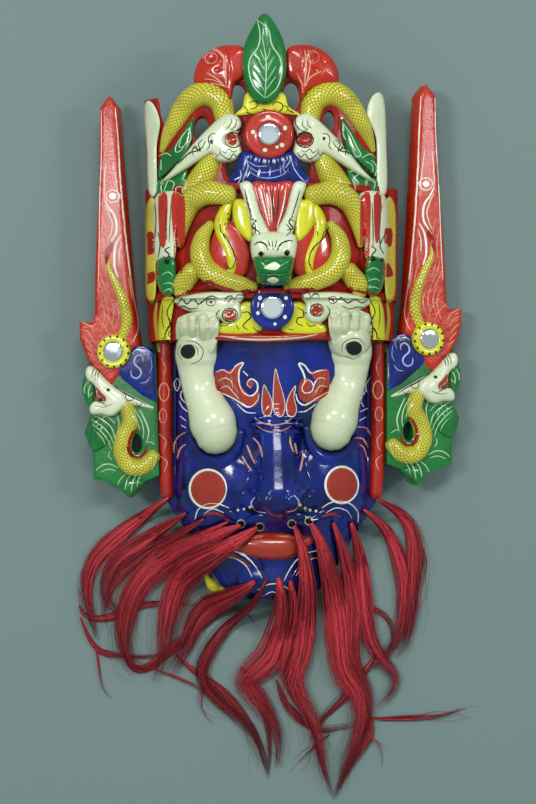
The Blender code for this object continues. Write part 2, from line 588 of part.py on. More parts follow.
def make_tuft(name, route, laid, model):
    """One tuft of dyed hair, from its hole in the wood down to the surface that the mask lies on."""
    full = HAIR_WIDTH / 2 / DIV
    line = smooth_line(route, 12)
    count = len(line)
    reach = [full * (0.55 + 0.45 * min(1, 6 * i / count)) * mix(1, 0.55, (i / count) ** 3) for i in range(count)]
    height = [hair_rests_on(p.x, p.y, r, laid) + HAIR_GAP for p, r in zip(line, reach)]
    order = list(range(1, count))
    for ids, before in ((order, -1), (order[::-1], 0)):
        for i in ids:
            a, b = (i, i - 1) if before else (i - 1, i)
            run = (line[i] - line[i - 1]).length
            height[a] = max(height[a], height[b] - 1.3 * run)
    laid.extend((p.x, p.y, h, r) for p, h, r in zip(line, height, reach))
    spots = [round(i * (count - 1) / 9) for i in range(10)]
    data = bpy.data.curves.new(name, "CURVE")
    data.dimensions = "3D"
    data.bevel_depth = DIV
    data.bevel_resolution = 1
    data.use_fill_caps = True
    spline = data.splines.new("POLY")
    spline.points.add(len(spots) - 1)
    for slot, i in zip(spline.points, spots):
        slot.co = (line[i].x * DIV, line[i].y * DIV, height[i] * DIV, 1)
        slot.radius = reach[i]
    obj = bpy.data.objects.new("hair_" + name, data)
    model.objects.link(obj)
    tuft = as_mesh(obj, model)
    finish(tuft, (0.45, 0.03, 0.06), 0.45)
    return tuft


def settle(model):
    """Hang every piece on an empty that puts the origin under the middle of the whole mask."""
    points = [obj.matrix_world @ v.co for obj in model.objects for v in obj.data.vertices]
    low = Vector([min(p[i] for p in points) for i in range(3)])
    high = Vector([max(p[i] for p in points) for i in range(3)])
    base = bpy.data.objects.new("base", None)
    base.location = (-(low.x + high.x) / 2, -(low.y + high.y) / 2, -low.z)
    pieces = list(model.objects)
    model.objects.link(base)
    for obj in pieces:
        obj.parent = base


def main():
    """Build the mask in a collection of its own."""
    for obj in list(bpy.data.objects):
        bpy.data.objects.remove(obj)
    model = bpy.data.collections.new("opera_mask")
    tools = bpy.data.collections.new("cutters")
    for collection in (model, tools):
        bpy.context.scene.collection.children.link(collection)
    make_mask_body(model, tools)
    make_wing("wing_right", 1, WING_SWEEP_RIGHT, 0, 0, model, tools)
    make_wing("wing_left", -1, WING_SWEEP_LEFT, -WING_LEAN_LEFT, WING_DROP_LEFT, model, tools)
    laid = []
    for name, route in TUFTS:
        make_tuft(name, route, laid, model)
    settle(model)


main()
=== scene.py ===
"""Looks of a carved and painted opera mask with a dragon helmet, ear wings, mirrors and a dyed beard.

Everything is laid out on the carver's grid of millimetres that the CAD source uses: +X to the viewer's right,
+Y up to the crown, +Z out of the face. The brow mirror, whose place on that grid is known, ties the grid to
the frame.
"""

import logging
import math
from dataclasses import dataclass, field, replace
from enum import Enum
from functools import partial
from typing import Callable, Optional, Sequence

import bpy
import numpy as np
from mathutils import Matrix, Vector
from mathutils.bvhtree import BVHTree
from mathutils.geometry import delaunay_2d_cdt

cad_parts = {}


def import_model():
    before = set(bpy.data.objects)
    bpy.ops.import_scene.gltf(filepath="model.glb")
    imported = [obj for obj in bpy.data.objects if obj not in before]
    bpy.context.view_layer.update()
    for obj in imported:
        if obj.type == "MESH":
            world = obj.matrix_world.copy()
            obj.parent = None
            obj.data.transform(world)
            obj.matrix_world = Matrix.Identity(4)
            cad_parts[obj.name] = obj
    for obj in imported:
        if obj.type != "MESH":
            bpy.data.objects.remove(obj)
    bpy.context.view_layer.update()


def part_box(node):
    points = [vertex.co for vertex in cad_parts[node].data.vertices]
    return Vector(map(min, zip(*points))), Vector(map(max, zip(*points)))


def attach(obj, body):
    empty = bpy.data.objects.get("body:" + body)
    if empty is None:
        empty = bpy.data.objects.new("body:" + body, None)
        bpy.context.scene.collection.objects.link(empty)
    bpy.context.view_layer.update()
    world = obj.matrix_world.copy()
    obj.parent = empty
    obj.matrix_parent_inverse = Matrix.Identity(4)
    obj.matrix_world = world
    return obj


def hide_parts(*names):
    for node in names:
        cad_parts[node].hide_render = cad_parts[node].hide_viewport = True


logging.basicConfig(level=logging.INFO, format="%(message)s")
log = logging.getLogger("mask")

MM = 0.001
SEED = 7
NOWHERE = -200                   # height given to a form where it isn't, in millimetres
OVER_ALL = 400                   # height over the whole mask, from which rays look down
ROW_SHARE = 0.866                # distance between rows of triangles, as a share of their sides
WING_FRONT = 47                  # height of a wing's front beside the block, in millimetres
WING_ROOT = 99                   # distance of that place from the middle line
TINY = 1e-6

Point = Sequence[float]
Surface = Callable[[np.ndarray, np.ndarray], np.ndarray]


class Slot(Enum):
    """Material slots of the record."""
    BODY = "painted_wood"
    WING = "wing_wood"
    MIRROR = "mirror_glass"
    HAIR = "dyed_hair"


# Finishes

def linear(hex_colour: str) -> tuple[float, float, float, float]:
    """Turn an sRGB hex colour such as "#C03A2A" into linear red, green, blue and alpha."""
    parts = [int(hex_colour[i:i + 2], 16) / 255 for i in (1, 3, 5)]
    return tuple(c / 12.92 if c <= 0.04045 else ((c + 0.055) / 1.055) ** 2.4 for c in parts) + (1.0,)


def add_node(tree: bpy.types.NodeTree, kind: str, settings: Optional[dict] = None,
             links: Optional[dict] = None) -> bpy.types.Node:
    """Add a shader node with its settings and links.

    Args:
        tree: node tree of the material.
        kind: type of node, without its "ShaderNode".
        settings: values by name; a name or number of an input sets that input, any other the node itself.
        links: output sockets by the name or number of the input that they feed.

    Returns:
        The new node.
    """
    node = tree.nodes.new("ShaderNode" + kind)
    own = {key: value for key, value in (settings or {}).items() if isinstance(key, str) and key.islower()}
    for key, value in own.items():
        setattr(node, key, value)
    for key, value in (settings or {}).items():
        if key not in own:
            node.inputs[key].default_value = value
    for key, socket in (links or {}).items():
        tree.links.new(socket, node.inputs[key])
    return node


def new_material(name: str) -> tuple[bpy.types.Material, bpy.types.NodeTree, bpy.types.Node]:
    """Make an empty material and give back it, its tree and its Principled shader."""
    material = bpy.data.materials.new(name)
    material.use_nodes = True
    return material, material.node_tree, material.node_tree.nodes["Principled BSDF"]


def scale_for(size_mm: float) -> float:
    """Scale of a noise in the frame's metres, for features this many millimetres wide."""
    return 1 / (size_mm * MM)


@dataclass(frozen=True)
class Enamel:
    """Gloss enamel laid by brush over carved and primed poplar.

    The brush leaves the colour a little uneven and the film thins on edges, which are also lightened as a
    painted highlight. The colour is darkened as painted shade in concave cuts and where other surfaces
    come near, and the clear top coat gives small hard highlights over a softer sheen.
    """
    name: str
    colour: str
    thick_coat_and_shade: str                  # darker tone: for the patches where the coat lies thick, and as painted shade in cuts and nooks
    rubbed_edge_and_highlight: str                    # lighter tone along sharp edges: paint rubbed thin there, and a painted edge highlight
    roughness: float = 0.24
    brush_mm: float = 2.6        # width of a brush mark
    patch_mm: float = 26.0       # size of the areas where the coat is thicker or thinner
    bump_mm: float = 0.16
    coat: float = 0.5            # how much of the clear top coat is left
    tide: float = 0.55           # how strongly the thick patches darken
    shine: float = 0.5           # specular level of the enamel under the coat
    shade_mm: float = 9.0        # how near another surface must be for painted shade to darken the enamel between them

    def material(self) -> bpy.types.Material:
        """Build the material."""
        material, tree, shader = new_material(self.name)
        place = add_node(tree, "TexCoord").outputs["Object"]
        patches = add_node(tree, "TexNoise",
                           {"Scale": scale_for(self.patch_mm), "Detail": 3.0, "Roughness": 0.6},
                           {"Vector": place}).outputs["Fac"]
        brush = add_node(tree, "TexNoise",
                         {"Scale": scale_for(self.brush_mm), "Detail": 4.0, "Roughness": 0.65},
                         {"Vector": place}).outputs["Fac"]
        tide = add_node(tree, "MapRange", {1: 0.38, 2: 0.68, 3: 0.0, 4: self.tide}, {0: patches}).outputs[0]
        body = add_node(tree, "Mix", {"data_type": "RGBA", 6: linear(self.colour), 7: linear(self.thick_coat_and_shade)},
                        {0: tide}).outputs[2]
        bend = add_node(tree, "NewGeometry").outputs["Pointiness"]
        # painted shade: darker in concave cuts, found by pointiness, and where other surfaces come near,
        # found by ambient occlusion
        cut = add_node(tree, "MapRange", {1: 0.495, 2: 0.43, 3: 0.0, 4: 0.85}, {0: bend}).outputs[0]
        near = add_node(tree, "AmbientOcclusion",
                        {"samples": 4, "Distance": self.shade_mm * MM}).outputs["AO"]
        nook_shade = add_node(tree, "MapRange", {1: 0.75, 2: 0.25, 3: 0.0, 4: 0.9}, {0: near}).outputs[0]
        cut = add_node(tree, "Math", {"operation": "MAXIMUM"}, {0: cut, 1: nook_shade}).outputs[0]
        # lighter along sharp convex edges, patchy by brush: rubbed-thin paint and a painted edge highlight
        edge = add_node(tree, "MapRange", {1: 0.53, 2: 0.62, 3: 0.0, 4: 0.6}, {0: bend}).outputs[0]
        edge_brush = add_node(tree, "Math", {"operation": "MULTIPLY"}, {0: edge, 1: brush}).outputs[0]
        thick_coat_and_shade = add_node(tree, "Mix", {"data_type": "RGBA", 7: linear(self.thick_coat_and_shade)},
                          {0: cut, 6: body}).outputs[2]
        rubbed_edge_and_highlight = add_node(tree, "Mix", {"data_type": "RGBA", 7: linear(self.rubbed_edge_and_highlight)},
                        {0: edge_brush, 6: thick_coat_and_shade}).outputs[2]
        gloss = add_node(tree, "MapRange",
                         {1: 0.3, 2: 0.75, 3: self.roughness * 0.7, 4: self.roughness * 1.7},
                         {0: brush}).outputs[0]
        fine = add_node(tree, "Bump", {"Strength": 0.55, "Distance": self.bump_mm * MM},
                        {"Height": brush}).outputs[0]
        broad = add_node(tree, "Bump", {"Strength": 0.5, "Distance": 5 * self.bump_mm * MM},
                         {"Height": patches, "Normal": fine}).outputs[0]
        tree.links.new(rubbed_edge_and_highlight, shader.inputs["Base Color"])
        tree.links.new(gloss, shader.inputs["Roughness"])
        tree.links.new(broad, shader.inputs["Normal"])
        shader.inputs["IOR"].default_value = 1.5
        shader.inputs["Specular IOR Level"].default_value = self.shine
        shader.inputs["Coat Weight"].default_value = self.coat
        shader.inputs["Coat Roughness"].default_value = 0.06
        return material


@dataclass(frozen=True)
class ScaleEnamel:
    """Yellow ochre enamel over a dragon's body that is cut all over with small diamond scales.

    The cuts between the scales are painted darker brown as shade, and each scale stands up as a small
    cushion that takes its own highlight.
    """
    name: str
    colour: str
    # darker tone: for thick patches, and the painted shade in the cuts between the scales
    thick_coat_and_shade: str
    roughness: float = 0.3
    cushion_mm: float = 0.55     # how far a scale stands over the cuts

    def material(self) -> bpy.types.Material:
        """Build the material; its UV map counts scales along and round the body."""
        material, tree, shader = new_material(self.name)
        split = add_node(tree, "SeparateXYZ", None, {0: add_node(tree, "UVMap").outputs[0]})
        ways = []
        for operation in ("ADD", "SUBTRACT"):
            way = add_node(tree, "Math", {"operation": operation},
                           {0: split.outputs[0], 1: split.outputs[1]})
            ways.append(add_node(tree, "Math", {"operation": "PINGPONG", 1: 0.5},
                                 {0: way.outputs[0]}).outputs[0])
        inside = add_node(tree, "Math", {"operation": "MINIMUM"}, {0: ways[0], 1: ways[1]}).outputs[0]
        cushion = add_node(tree, "MapRange", {"interpolation_type": "SMOOTHSTEP", 1: 0.0, 2: 0.2},
                           {0: inside}).outputs[0]
        place = add_node(tree, "TexCoord").outputs["Object"]
        patches = add_node(tree, "TexNoise", {"Scale": scale_for(18), "Detail": 4.0},
                           {"Vector": place}).outputs["Fac"]
        grain = add_node(tree, "TexNoise", {"Scale": scale_for(2.2), "Detail": 3.0},
                         {"Vector": place}).outputs["Fac"]
        # painted shade: the cuts between the scales take the darker colour, the cushions the lighter one
        shade = add_node(tree, "Mix", {"data_type": "RGBA", 6: linear(self.thick_coat_and_shade), 7: linear(self.colour)},
                         {0: cushion}).outputs[2]
        tide = add_node(tree, "MapRange", {1: 0.42, 2: 0.75, 3: 0.0, 4: 0.6}, {0: patches}).outputs[0]
        body = add_node(tree, "Mix", {"data_type": "RGBA", 7: linear(self.thick_coat_and_shade)},
                        {0: tide, 6: shade}).outputs[2]
        gloss = add_node(tree, "MapRange",
                         {1: 0.3, 2: 0.75, 3: self.roughness * 0.7, 4: self.roughness * 1.6},
                         {0: grain}).outputs[0]
        relief = add_node(tree, "Bump", {"Strength": 0.9, "Distance": self.cushion_mm * MM},
                          {"Height": cushion}).outputs[0]
        rough = add_node(tree, "Bump", {"Strength": 0.4, "Distance": 0.15 * MM},
                         {"Height": grain, "Normal": relief}).outputs[0]
        tree.links.new(body, shader.inputs["Base Color"])
        tree.links.new(gloss, shader.inputs["Roughness"])
        tree.links.new(rough, shader.inputs["Normal"])
        shader.inputs["Coat Weight"].default_value = 0.35
        shader.inputs["Coat Roughness"].default_value = 0.1
        return material


@dataclass(frozen=True)
class BrushLine:
    """Line drawn with a loaded fine brush: it fades from thick paint to a dry, see-through drag."""
    name: str
    colour: str
    thin: str
    roughness: float = 0.32

    def material(self) -> bpy.types.Material:
        """Build the material."""
        material, tree, shader = new_material(self.name)
        place = add_node(tree, "TexCoord").outputs["Object"]
        drag = add_node(tree, "TexNoise", {"Scale": scale_for(3.0), "Detail": 5.0, "Roughness": 0.7},
                        {"Vector": place}).outputs["Fac"]
        dry = add_node(tree, "MapRange", {1: 0.46, 2: 0.72, 3: 0.0, 4: 0.7}, {0: drag}).outputs[0]
        tone = add_node(tree, "Mix", {"data_type": "RGBA", 6: linear(self.colour), 7: linear(self.thin)},
                        {0: dry}).outputs[2]
        tree.links.new(tone, shader.inputs["Base Color"])
        ridge = add_node(tree, "Bump", {"Strength": 0.4, "Distance": 0.1 * MM}, {"Height": drag}).outputs[0]
        tree.links.new(ridge, shader.inputs["Normal"])
        shader.inputs["Roughness"].default_value = self.roughness
        return material


@dataclass(frozen=True)
class BareWood:
    """Poplar left bare inside the hollow: gouge marks, long grain and a little grime from handling."""
    name: str
    colour: str
    grain: str
    gouge_mm: float = 11.0

    def material(self) -> bpy.types.Material:
        """Build the material."""
        material, tree, shader = new_material(self.name)
        place = add_node(tree, "TexCoord").outputs["Object"]
        along = add_node(tree, "Mapping", {"Scale": (1.0, 0.08, 1.0)}, {"Vector": place}).outputs[0]
        fibre = add_node(tree, "TexNoise", {"Scale": scale_for(1.6), "Detail": 5.0},
                         {"Vector": along}).outputs["Fac"]
        ring = add_node(tree, "TexNoise", {"Scale": scale_for(14), "Detail": 2.0, "Distortion": 0.6},
                        {"Vector": along}).outputs["Fac"]
        both = add_node(tree, "Math", {"operation": "MULTIPLY"}, {0: fibre, 1: ring}).outputs[0]
        dark = add_node(tree, "MapRange", {1: 0.12, 2: 0.42}, {0: both}).outputs[0]
        tone = add_node(tree, "Mix", {"data_type": "RGBA", 6: linear(self.colour), 7: linear(self.grain)},
                        {0: dark}).outputs[2]
        gouge = add_node(tree, "TexVoronoi", {"Scale": scale_for(self.gouge_mm)},
                         {"Vector": place}).outputs[0]
        cuts = add_node(tree, "Bump", {"Strength": 0.5, "Distance": 1.2 * MM}, {"Height": gouge}).outputs[0]
        fibres = add_node(tree, "Bump", {"Strength": 0.3, "Distance": 0.2 * MM},
                          {"Height": fibre, "Normal": cuts}).outputs[0]
        tree.links.new(tone, shader.inputs["Base Color"])
        tree.links.new(fibres, shader.inputs["Normal"])
        shader.inputs["Roughness"].default_value = 0.72
        return material


@dataclass(frozen=True)
class MirrorGlass:
    """Small round of silvered glass: a clean cold reflection, a little clouded by age."""
    name: str = "silvered glass"
    colour: str = "#E9F1F4"

    def material(self) -> bpy.types.Material:
        """Build the material."""
        material, tree, shader = new_material(self.name)
        place = add_node(tree, "TexCoord").outputs["Object"]
        cloud = add_node(tree, "TexNoise", {"Scale": scale_for(6), "Detail": 4.0},
                         {"Vector": place}).outputs["Fac"]
        haze = add_node(tree, "MapRange", {1: 0.4, 2: 0.8, 3: 0.03, 4: 0.16}, {0: cloud}).outputs[0]
        tree.links.new(haze, shader.inputs["Roughness"])
        shader.inputs["Base Color"].default_value = linear(self.colour)
        shader.inputs["Metallic"].default_value = 1.0
        return material


@dataclass(frozen=True)
class DyedHair:
    """Horsetail dyed crimson: each hair has its own tone, darkened as painted shade where the tuft is deep.
    """
    name: str = "dyed horsehair"
    light: str = "#F04C58"
    dark: str = "#4C0C12"

    def material(self) -> bpy.types.Material:
        """Build the material; the attribute "tone" holds how light each hair is, painted shade included."""
        material, tree, shader = new_material(self.name)
        tone = add_node(tree, "Attribute", {"attribute_name": "tone"}).outputs["Fac"]
        colour = add_node(tree, "Mix", {"data_type": "RGBA", 6: linear(self.dark), 7: linear(self.light)},
                          {0: tone}).outputs[2]
        tree.links.new(colour, shader.inputs["Base Color"])
        shader.inputs["Roughness"].default_value = 0.42
        shader.inputs["Specular IOR Level"].default_value = 0.3
        return material


@dataclass(frozen=True)
class PalePaper:
    """Seamless pale paper under the mask: quite matt, with a trace of tooth."""
    name: str = "pale paper"
    colour: str = "#768B88"

    def material(self) -> bpy.types.Material:
        """Build the material."""
        material, tree, shader = new_material(self.name)
        place = add_node(tree, "TexCoord").outputs["Object"]
        tooth = add_node(tree, "TexNoise", {"Scale": scale_for(3), "Detail": 2.0},
                         {"Vector": place}).outputs["Fac"]
        bump = add_node(tree, "Bump", {"Strength": 0.1, "Distance": 0.1 * MM}, {"Height": tooth}).outputs[0]
        tree.links.new(bump, shader.inputs["Normal"])
        shader.inputs["Base Color"].default_value = linear(self.colour)
        shader.inputs["Roughness"].default_value = 0.9
        return material


Finish = Enamel | ScaleEnamel | BrushLine | BareWood | MirrorGlass | DyedHair | PalePaper

RED = Enamel("vermilion gloss enamel", "#BE2810", "#8A110A", "#D2542F", roughness=0.2, shine=0.35)
BLADE_RED = Enamel("thickly brushed vermilion", "#C22E14", "#9A180C", "#D6603A", patch_mm=12, bump_mm=0.42,
                   roughness=0.24, coat=0.12, shine=0.3)
# red enamel darkened as painted shade, laid on the recessed helmet ground, the pierced crown plate, the
# notches of the band's edges and the root of the blade's flame
SHADED_RED = Enamel("shaded red gloss enamel", "#A2180C", "#620906", "#B8301C", roughness=0.5, coat=0.08,
                  shine=0.2)
# cobalt enamel whose wide shade_mm spreads the painted shade round the nose, the sockets and the upper lip
BLUE = Enamel("cobalt gloss enamel", "#0A2684", "#030A2C", "#2452B0", roughness=0.13, patch_mm=34,
              tide=0.85, coat=0.3, shine=0.3, shade_mm=24)
GREEN = Enamel("emerald gloss enamel", "#0A7A30", "#054019", "#3E9C52", roughness=0.2, shine=0.35)
CREAM = Enamel("ivory gloss enamel", "#DCE6C4", "#BCC99C", "#EEF3DE", roughness=0.24, patch_mm=34)
LEMON = Enamel("lemon gloss enamel", "#DDE214", "#BDB410", "#F0F26A", roughness=0.2)
GOLD = Enamel("ochre gloss enamel", "#D6CA36", "#A88A1C", "#EAE27A")
SCALES = ScaleEnamel("ochre enamel over cut scales", "#DCDD42", "#A8941E")
ORANGE = Enamel("orange gloss enamel", "#D0571F", "#A02412", "#E58A4E", roughness=0.2)
WHITE_LINE = BrushLine("ivory brush line", "#F0F2E2", "#C9CDBA")
GREEN_LINE = BrushLine("pale green brush line", "#C4E6B8", "#7FBF85")
BLUE_LINE = BrushLine("pale blue brush line", "#B9C7E6", "#5F78B4")
ROSE_LINE = BrushLine("rose brush line", "#DFA486", "#B4573A")
BLACK_LINE = BrushLine("lamp black brush line", "#080808", "#191916")
RED_SPOT = Enamel("scarlet gloss enamel", "#A82E14", "#861C0E", "#C25A34", roughness=0.2)
WOOD = BareWood("bare poplar", "#B58A57", "#7A5430")
GLASS = MirrorGlass()
HAIR = DyedHair()
PAPER = PalePaper()


# Lines, forms and surfaces on the carver's grid

def smooth(points: Sequence[Point], step: float = 1.2, closed: bool = False) -> np.ndarray:
    """Smooth curve through the points, with a point about every step millimetres."""
    control = np.array(points, float)
    count = len(control)
    spans = count if closed else count - 1
    ids = np.arange(spans)[:, None] + np.arange(-1, 3)[None, :]
    ids = ids % count if closed else np.clip(ids, 0, count - 1)
    line = []
    for p0, p1, p2, p3 in control[ids]:
        pieces = max(1, round(float(np.hypot(*(p2 - p1)[:2])) / step))
        t = (np.arange(pieces) / pieces)[:, None]
        line.append(0.5 * (2 * p1 + (p2 - p0) * t + (2 * p0 - 5 * p1 + 4 * p2 - p3) * t ** 2
                           + (3 * p1 - p0 - 3 * p2 + p3) * t ** 3))
    if not closed:
        line.append(control[-1:])
    return np.concatenate(line)


def mirrored(points: Sequence[Point], axis: float, lift: float = 0) -> list[tuple]:
    """The same grid points on the other side of a middle line, moved up by lift."""
    return [(2 * axis - p[0], p[1] + lift, *p[2:]) for p in reversed(points)]


def oval(x: float, y: float, wide: float, tall: float, count: int = 16) -> list[tuple]:
    """Points round an ellipse."""
    return [(x + wide * math.cos(a), y + tall * math.sin(a))
            for a in (2 * math.pi * i / count for i in range(count))]


def inside(points: np.ndarray, outline: np.ndarray) -> np.ndarray:
    """Which of the points lie inside a closed outline."""
    x, y = points[:, 0][:, None], points[:, 1][:, None]
    x0, y0 = outline[:, 0][None, :], outline[:, 1][None, :]
    x1, y1 = np.roll(x0, -1, 1), np.roll(y0, -1, 1)
    rise = np.where(y1 == y0, 1e-9, y1 - y0)
    crosses = ((y0 > y) != (y1 > y)) & (x < (x1 - x0) * (y - y0) / rise + x0)
    return crosses.sum(1) % 2 == 1


def distance_to(points: np.ndarray, line: np.ndarray, closed: bool) -> tuple[np.ndarray, np.ndarray]:
    """Distance from each point to a line, and the other values of the line at the nearest place on it.

    Args:
        points: places as rows of x and y.
        line: rows of x, y and any further values.
        closed: whether the line runs back to its start.

    Returns:
        Distances, and the line's rows at the nearest places.
    """
    start = line if closed else line[:-1]
    end = np.roll(line, -1, 0) if closed else line[1:]
    best = np.full(len(points), 1e9)
    near = np.zeros((len(points), line.shape[1]))
    for a, b in zip(start, end):
        run = b[:2] - a[:2]
        t = np.clip(((points - a[:2]) @ run) / max(float(run @ run), 1e-9), 0, 1)
        far = np.hypot(*(points - a[:2] - t[:, None] * run).T)
        closer = far < best
        best[closer] = far[closer]
        near[closer] = a + (b - a) * t[closer, None]
    return best, near


@dataclass
class Form:
    """Part of a mesh on the carver's grid."""
    points: np.ndarray
    faces: list[tuple[int, ...]]
    uvs: Optional[np.ndarray] = None         # one u and v for each corner of each face
    tones: Optional[np.ndarray] = None       # one tone for each point

    def moved(self, change: Callable[[np.ndarray], np.ndarray], flip: bool = False) -> "Form":
        """The same form with its points changed, and turned inside out where that mirrors it."""
        faces, uvs = self.faces, self.uvs
        if flip:
            faces = [face[::-1] for face in faces]
            if uvs is not None:
                ends = np.cumsum([0] + [len(face) for face in faces])
                uvs = np.concatenate([uvs[a:b][::-1] for a, b in zip(ends, ends[1:])])
        return Form(change(self.points), faces, uvs, self.tones)


def triangles(outline: np.ndarray, holes: Sequence[np.ndarray],
              spacing: float) -> tuple[np.ndarray, list, int]:
    """Fill an outline with small triangles.

    Args:
        outline: points round it.
        holes: outlines that are left open.
        spacing: distance between the points inside it.

    Returns:
        The points, those round the edges first, the triangles, and how many points are round the edges.
    """
    loops = [outline, *holes]
    rim = np.concatenate(loops)
    edges = []
    first = 0
    for loop in loops:
        edges += [(first + i, first + (i + 1) % len(loop)) for i in range(len(loop))]
        first += len(loop)
    low, high = outline.min(0), outline.max(0)
    row_step = spacing * ROW_SHARE
    rows = np.arange(low[1], high[1], row_step)
    columns = [np.arange(low[0] + (i % 2) * spacing / 2, high[0], spacing) for i in range(len(rows))]
    spots = np.concatenate([np.stack([row, np.full(len(row), y)], 1) for row, y in zip(columns, rows)])
    keep = inside(spots, outline)
    for hole in holes:
        keep &= ~inside(spots, hole)
    spots = spots[keep]
    if len(spots):
        gap = np.min([distance_to(spots, loop, True)[0] for loop in loops], axis=0)
        spots = spots[gap > 0.55 * spacing]
    every = np.concatenate([rim, spots])
    made = delaunay_2d_cdt([Vector(p) for p in every], edges, [], 1, TINY)
    where, found = np.array([tuple(p) for p in made[0]]), made[2]
    if holes:
        middle = np.array([where[list(face)].mean(0) for face in found])
        open_ = np.zeros(len(found), bool)
        for hole in holes:
            open_ |= inside(middle, hole)
        found = [face for face, gone in zip(found, open_) if not gone]
    return where, [tuple(face) for face in found], len(rim)


def relief(outline: Sequence[Point], surface: Surface, edge: float = 3, rise: float = 4, sink: float = 7,
           holes: Sequence[Sequence[Point]] = (), spacing: float = 1.5, swell: Optional[float] = None,
           dents: Sequence[tuple] = (), grooves: Sequence[tuple] = (), sharp: bool = False,
           soften: float = 1.0) -> Form:
    """Carved relief with this outline.

    Args:
        outline: points round it, joined by a smooth curve.
        surface: height of the ground that it stands on.
        edge: height of its wall over the ground.
        rise: how far its top swells over the wall.
        sink: how far it reaches down into the ground.
        holes: outlines pierced through it.
        spacing: distance between points of the mesh.
        swell: distance from the edge over which the top rises; half of its width if not given.
        dents: (x, y, wide, tall, depth) of hollows in the top.
        grooves: (points, width, depth) of cuts along a line.
        sharp: keep straight lines between the points of the outline.
        soften: how far the wall's top edge is rounded.

    Returns:
        A closed form.
    """
    rim = np.array(outline, float)[:, :2] if sharp else smooth(outline, spacing, True)[:, :2]
    loops = [smooth(hole, spacing, True)[:, :2] for hole in holes]
    where, faces, count = triangles(rim, loops, spacing)
    gap = np.min([distance_to(where, loop, True)[0] for loop in (rim, *loops)], axis=0)
    reach = swell or max(float(gap.max()), 1e-3)
    share = np.clip(gap / reach, 0, 1)
    top = edge + rise * np.sqrt(np.clip(1 - (1 - share) ** 2, 0, 1))
    top -= soften * np.clip(1 - gap / (2 * soften + TINY), 0, 1) ** 2
    for x, y, wide, tall, depth in dents:
        off = np.hypot((where[:, 0] - x) / wide, (where[:, 1] - y) / tall)
        top -= depth * np.clip(1 - off ** 2, 0, 1) ** 0.6
    for points, width, depth in grooves:
        far, _ = distance_to(where, smooth(points, 1.5), False)
        top -= depth * np.exp(-(far / width) ** 2)
    ground = surface(where[:, 0], where[:, 1])
    upper = np.column_stack([where, ground + top])
    lower = np.column_stack([where, ground - sink])
    total = len(where)
    solid = list(faces) + [tuple(total + i for i in face[::-1]) for face in faces]
    used = {}
    for face in faces:
        for a, b in zip(face, face[1:] + face[:1]):
            used[(a, b)] = True
    for a, b in used:
        if (b, a) not in used:
            solid.append((a, total + a, total + b, b))
    return Form(np.concatenate([upper, lower]), solid)


def swept(route: Sequence[Point], surface: Surface, bury: float = 0.25, sides: int = 20, step: float = 1.3,
          scale_mm: float = 3.4, least: float = 0.5) -> Form:
    """Round tapering form that follows a route on a surface, with rounded ends.

    Args:
        route: x, y and radius.
        surface: height of the ground.
        bury: part of its radius that its middle lies under the ground.
        sides: points round it.
        step: distance between its rings.
        scale_mm: width of one scale, for the UV map that counts them.
        least: smallest radius.

    Returns:
        A closed form with a UV map.
    """
    line = smooth(route, step)
    radius = np.maximum(line[:, 2], least)
    height = surface(line[:, 0], line[:, 1]) - bury * radius
    centre = np.column_stack([line[:, :2], height])
    way = np.gradient(centre, axis=0)
    way /= np.linalg.norm(way, axis=1)[:, None]
    caps = ((0.35, 0.97), (0.75, 0.7), (0.95, 0.33))
    rings = [(centre[0] - way[0] * radius[0] * out, way[0], radius[0] * size)
             for out, size in reversed(caps)]
    rings += list(zip(centre, way, radius))
    rings += [(centre[-1] + way[-1] * radius[-1] * out, way[-1], radius[-1] * size)
              for out, size in caps]
    up = np.array([0.0, 0.0, 1.0])
    angles = 2 * math.pi * np.arange(sides) / sides
    points = []
    for middle, direction, size in rings:
        side = np.cross(direction, up)
        side /= max(float(np.linalg.norm(side)), TINY)
        lift = np.cross(side, direction)
        points.append(middle + size * (np.cos(angles)[:, None] * side + np.sin(angles)[:, None] * lift))
    ends = [rings[0][0] - rings[0][1] * rings[0][2] * 0.15,
            rings[-1][0] + rings[-1][1] * rings[-1][2] * 0.15]
    cloud = np.concatenate(points + [np.array(ends)])
    middles = np.array([r[0] for r in rings])
    along = np.concatenate([[0], np.cumsum(np.linalg.norm(np.diff(middles, axis=0), axis=1))]) / scale_mm
    round_count = max(3, round(2 * math.pi * float(radius.mean()) / scale_mm))
    faces, uvs = [], []
    for i in range(len(rings) - 1):
        for j in range(sides):
            k = (j + 1) % sides
            faces.append((i * sides + j, i * sides + k, (i + 1) * sides + k, (i + 1) * sides + j))
            left, right = round_count * j / sides, round_count * (j + 1) / sides
            uvs += [(along[i], left), (along[i], right), (along[i + 1], right), (along[i + 1], left)]
    last = (len(rings) - 1) * sides
    tip = len(rings) * sides
    for j in range(sides):
        k = (j + 1) % sides
        faces.append((tip, k, j))
        faces.append((tip + 1, last + j, last + k))
        uvs += [(0, 0)] * 6
    return Form(cloud, faces, np.array(uvs))


def turned(profile: Sequence[Point], segments: int = 56) -> Form:
    """Form turned on a lathe: (radius, height) from the middle of its top, outward and down, closed below."""
    angles = 2 * math.pi * np.arange(segments) / segments
    rings = [np.column_stack([r * np.cos(angles), r * np.sin(angles), np.full(segments, h)])
             for r, h in profile if r > 0]
    crown = profile[0][1]
    points = np.concatenate(rings + [np.array([[0, 0, crown], [0, 0, profile[-1][1]]])])
    faces = []
    for i in range(len(rings) - 1):
        for j in range(segments):
            k = (j + 1) % segments
            faces.append((i * segments + j, (i + 1) * segments + j, (i + 1) * segments + k,
                          i * segments + k))
    last = (len(rings) - 1) * segments
    top = len(rings) * segments
    for j in range(segments):
        k = (j + 1) % segments
        faces.append((top, j, k))
        faces.append((top + 1, last + k, last + j))
    return Form(points, faces)


# Surfaces that the carving stands on

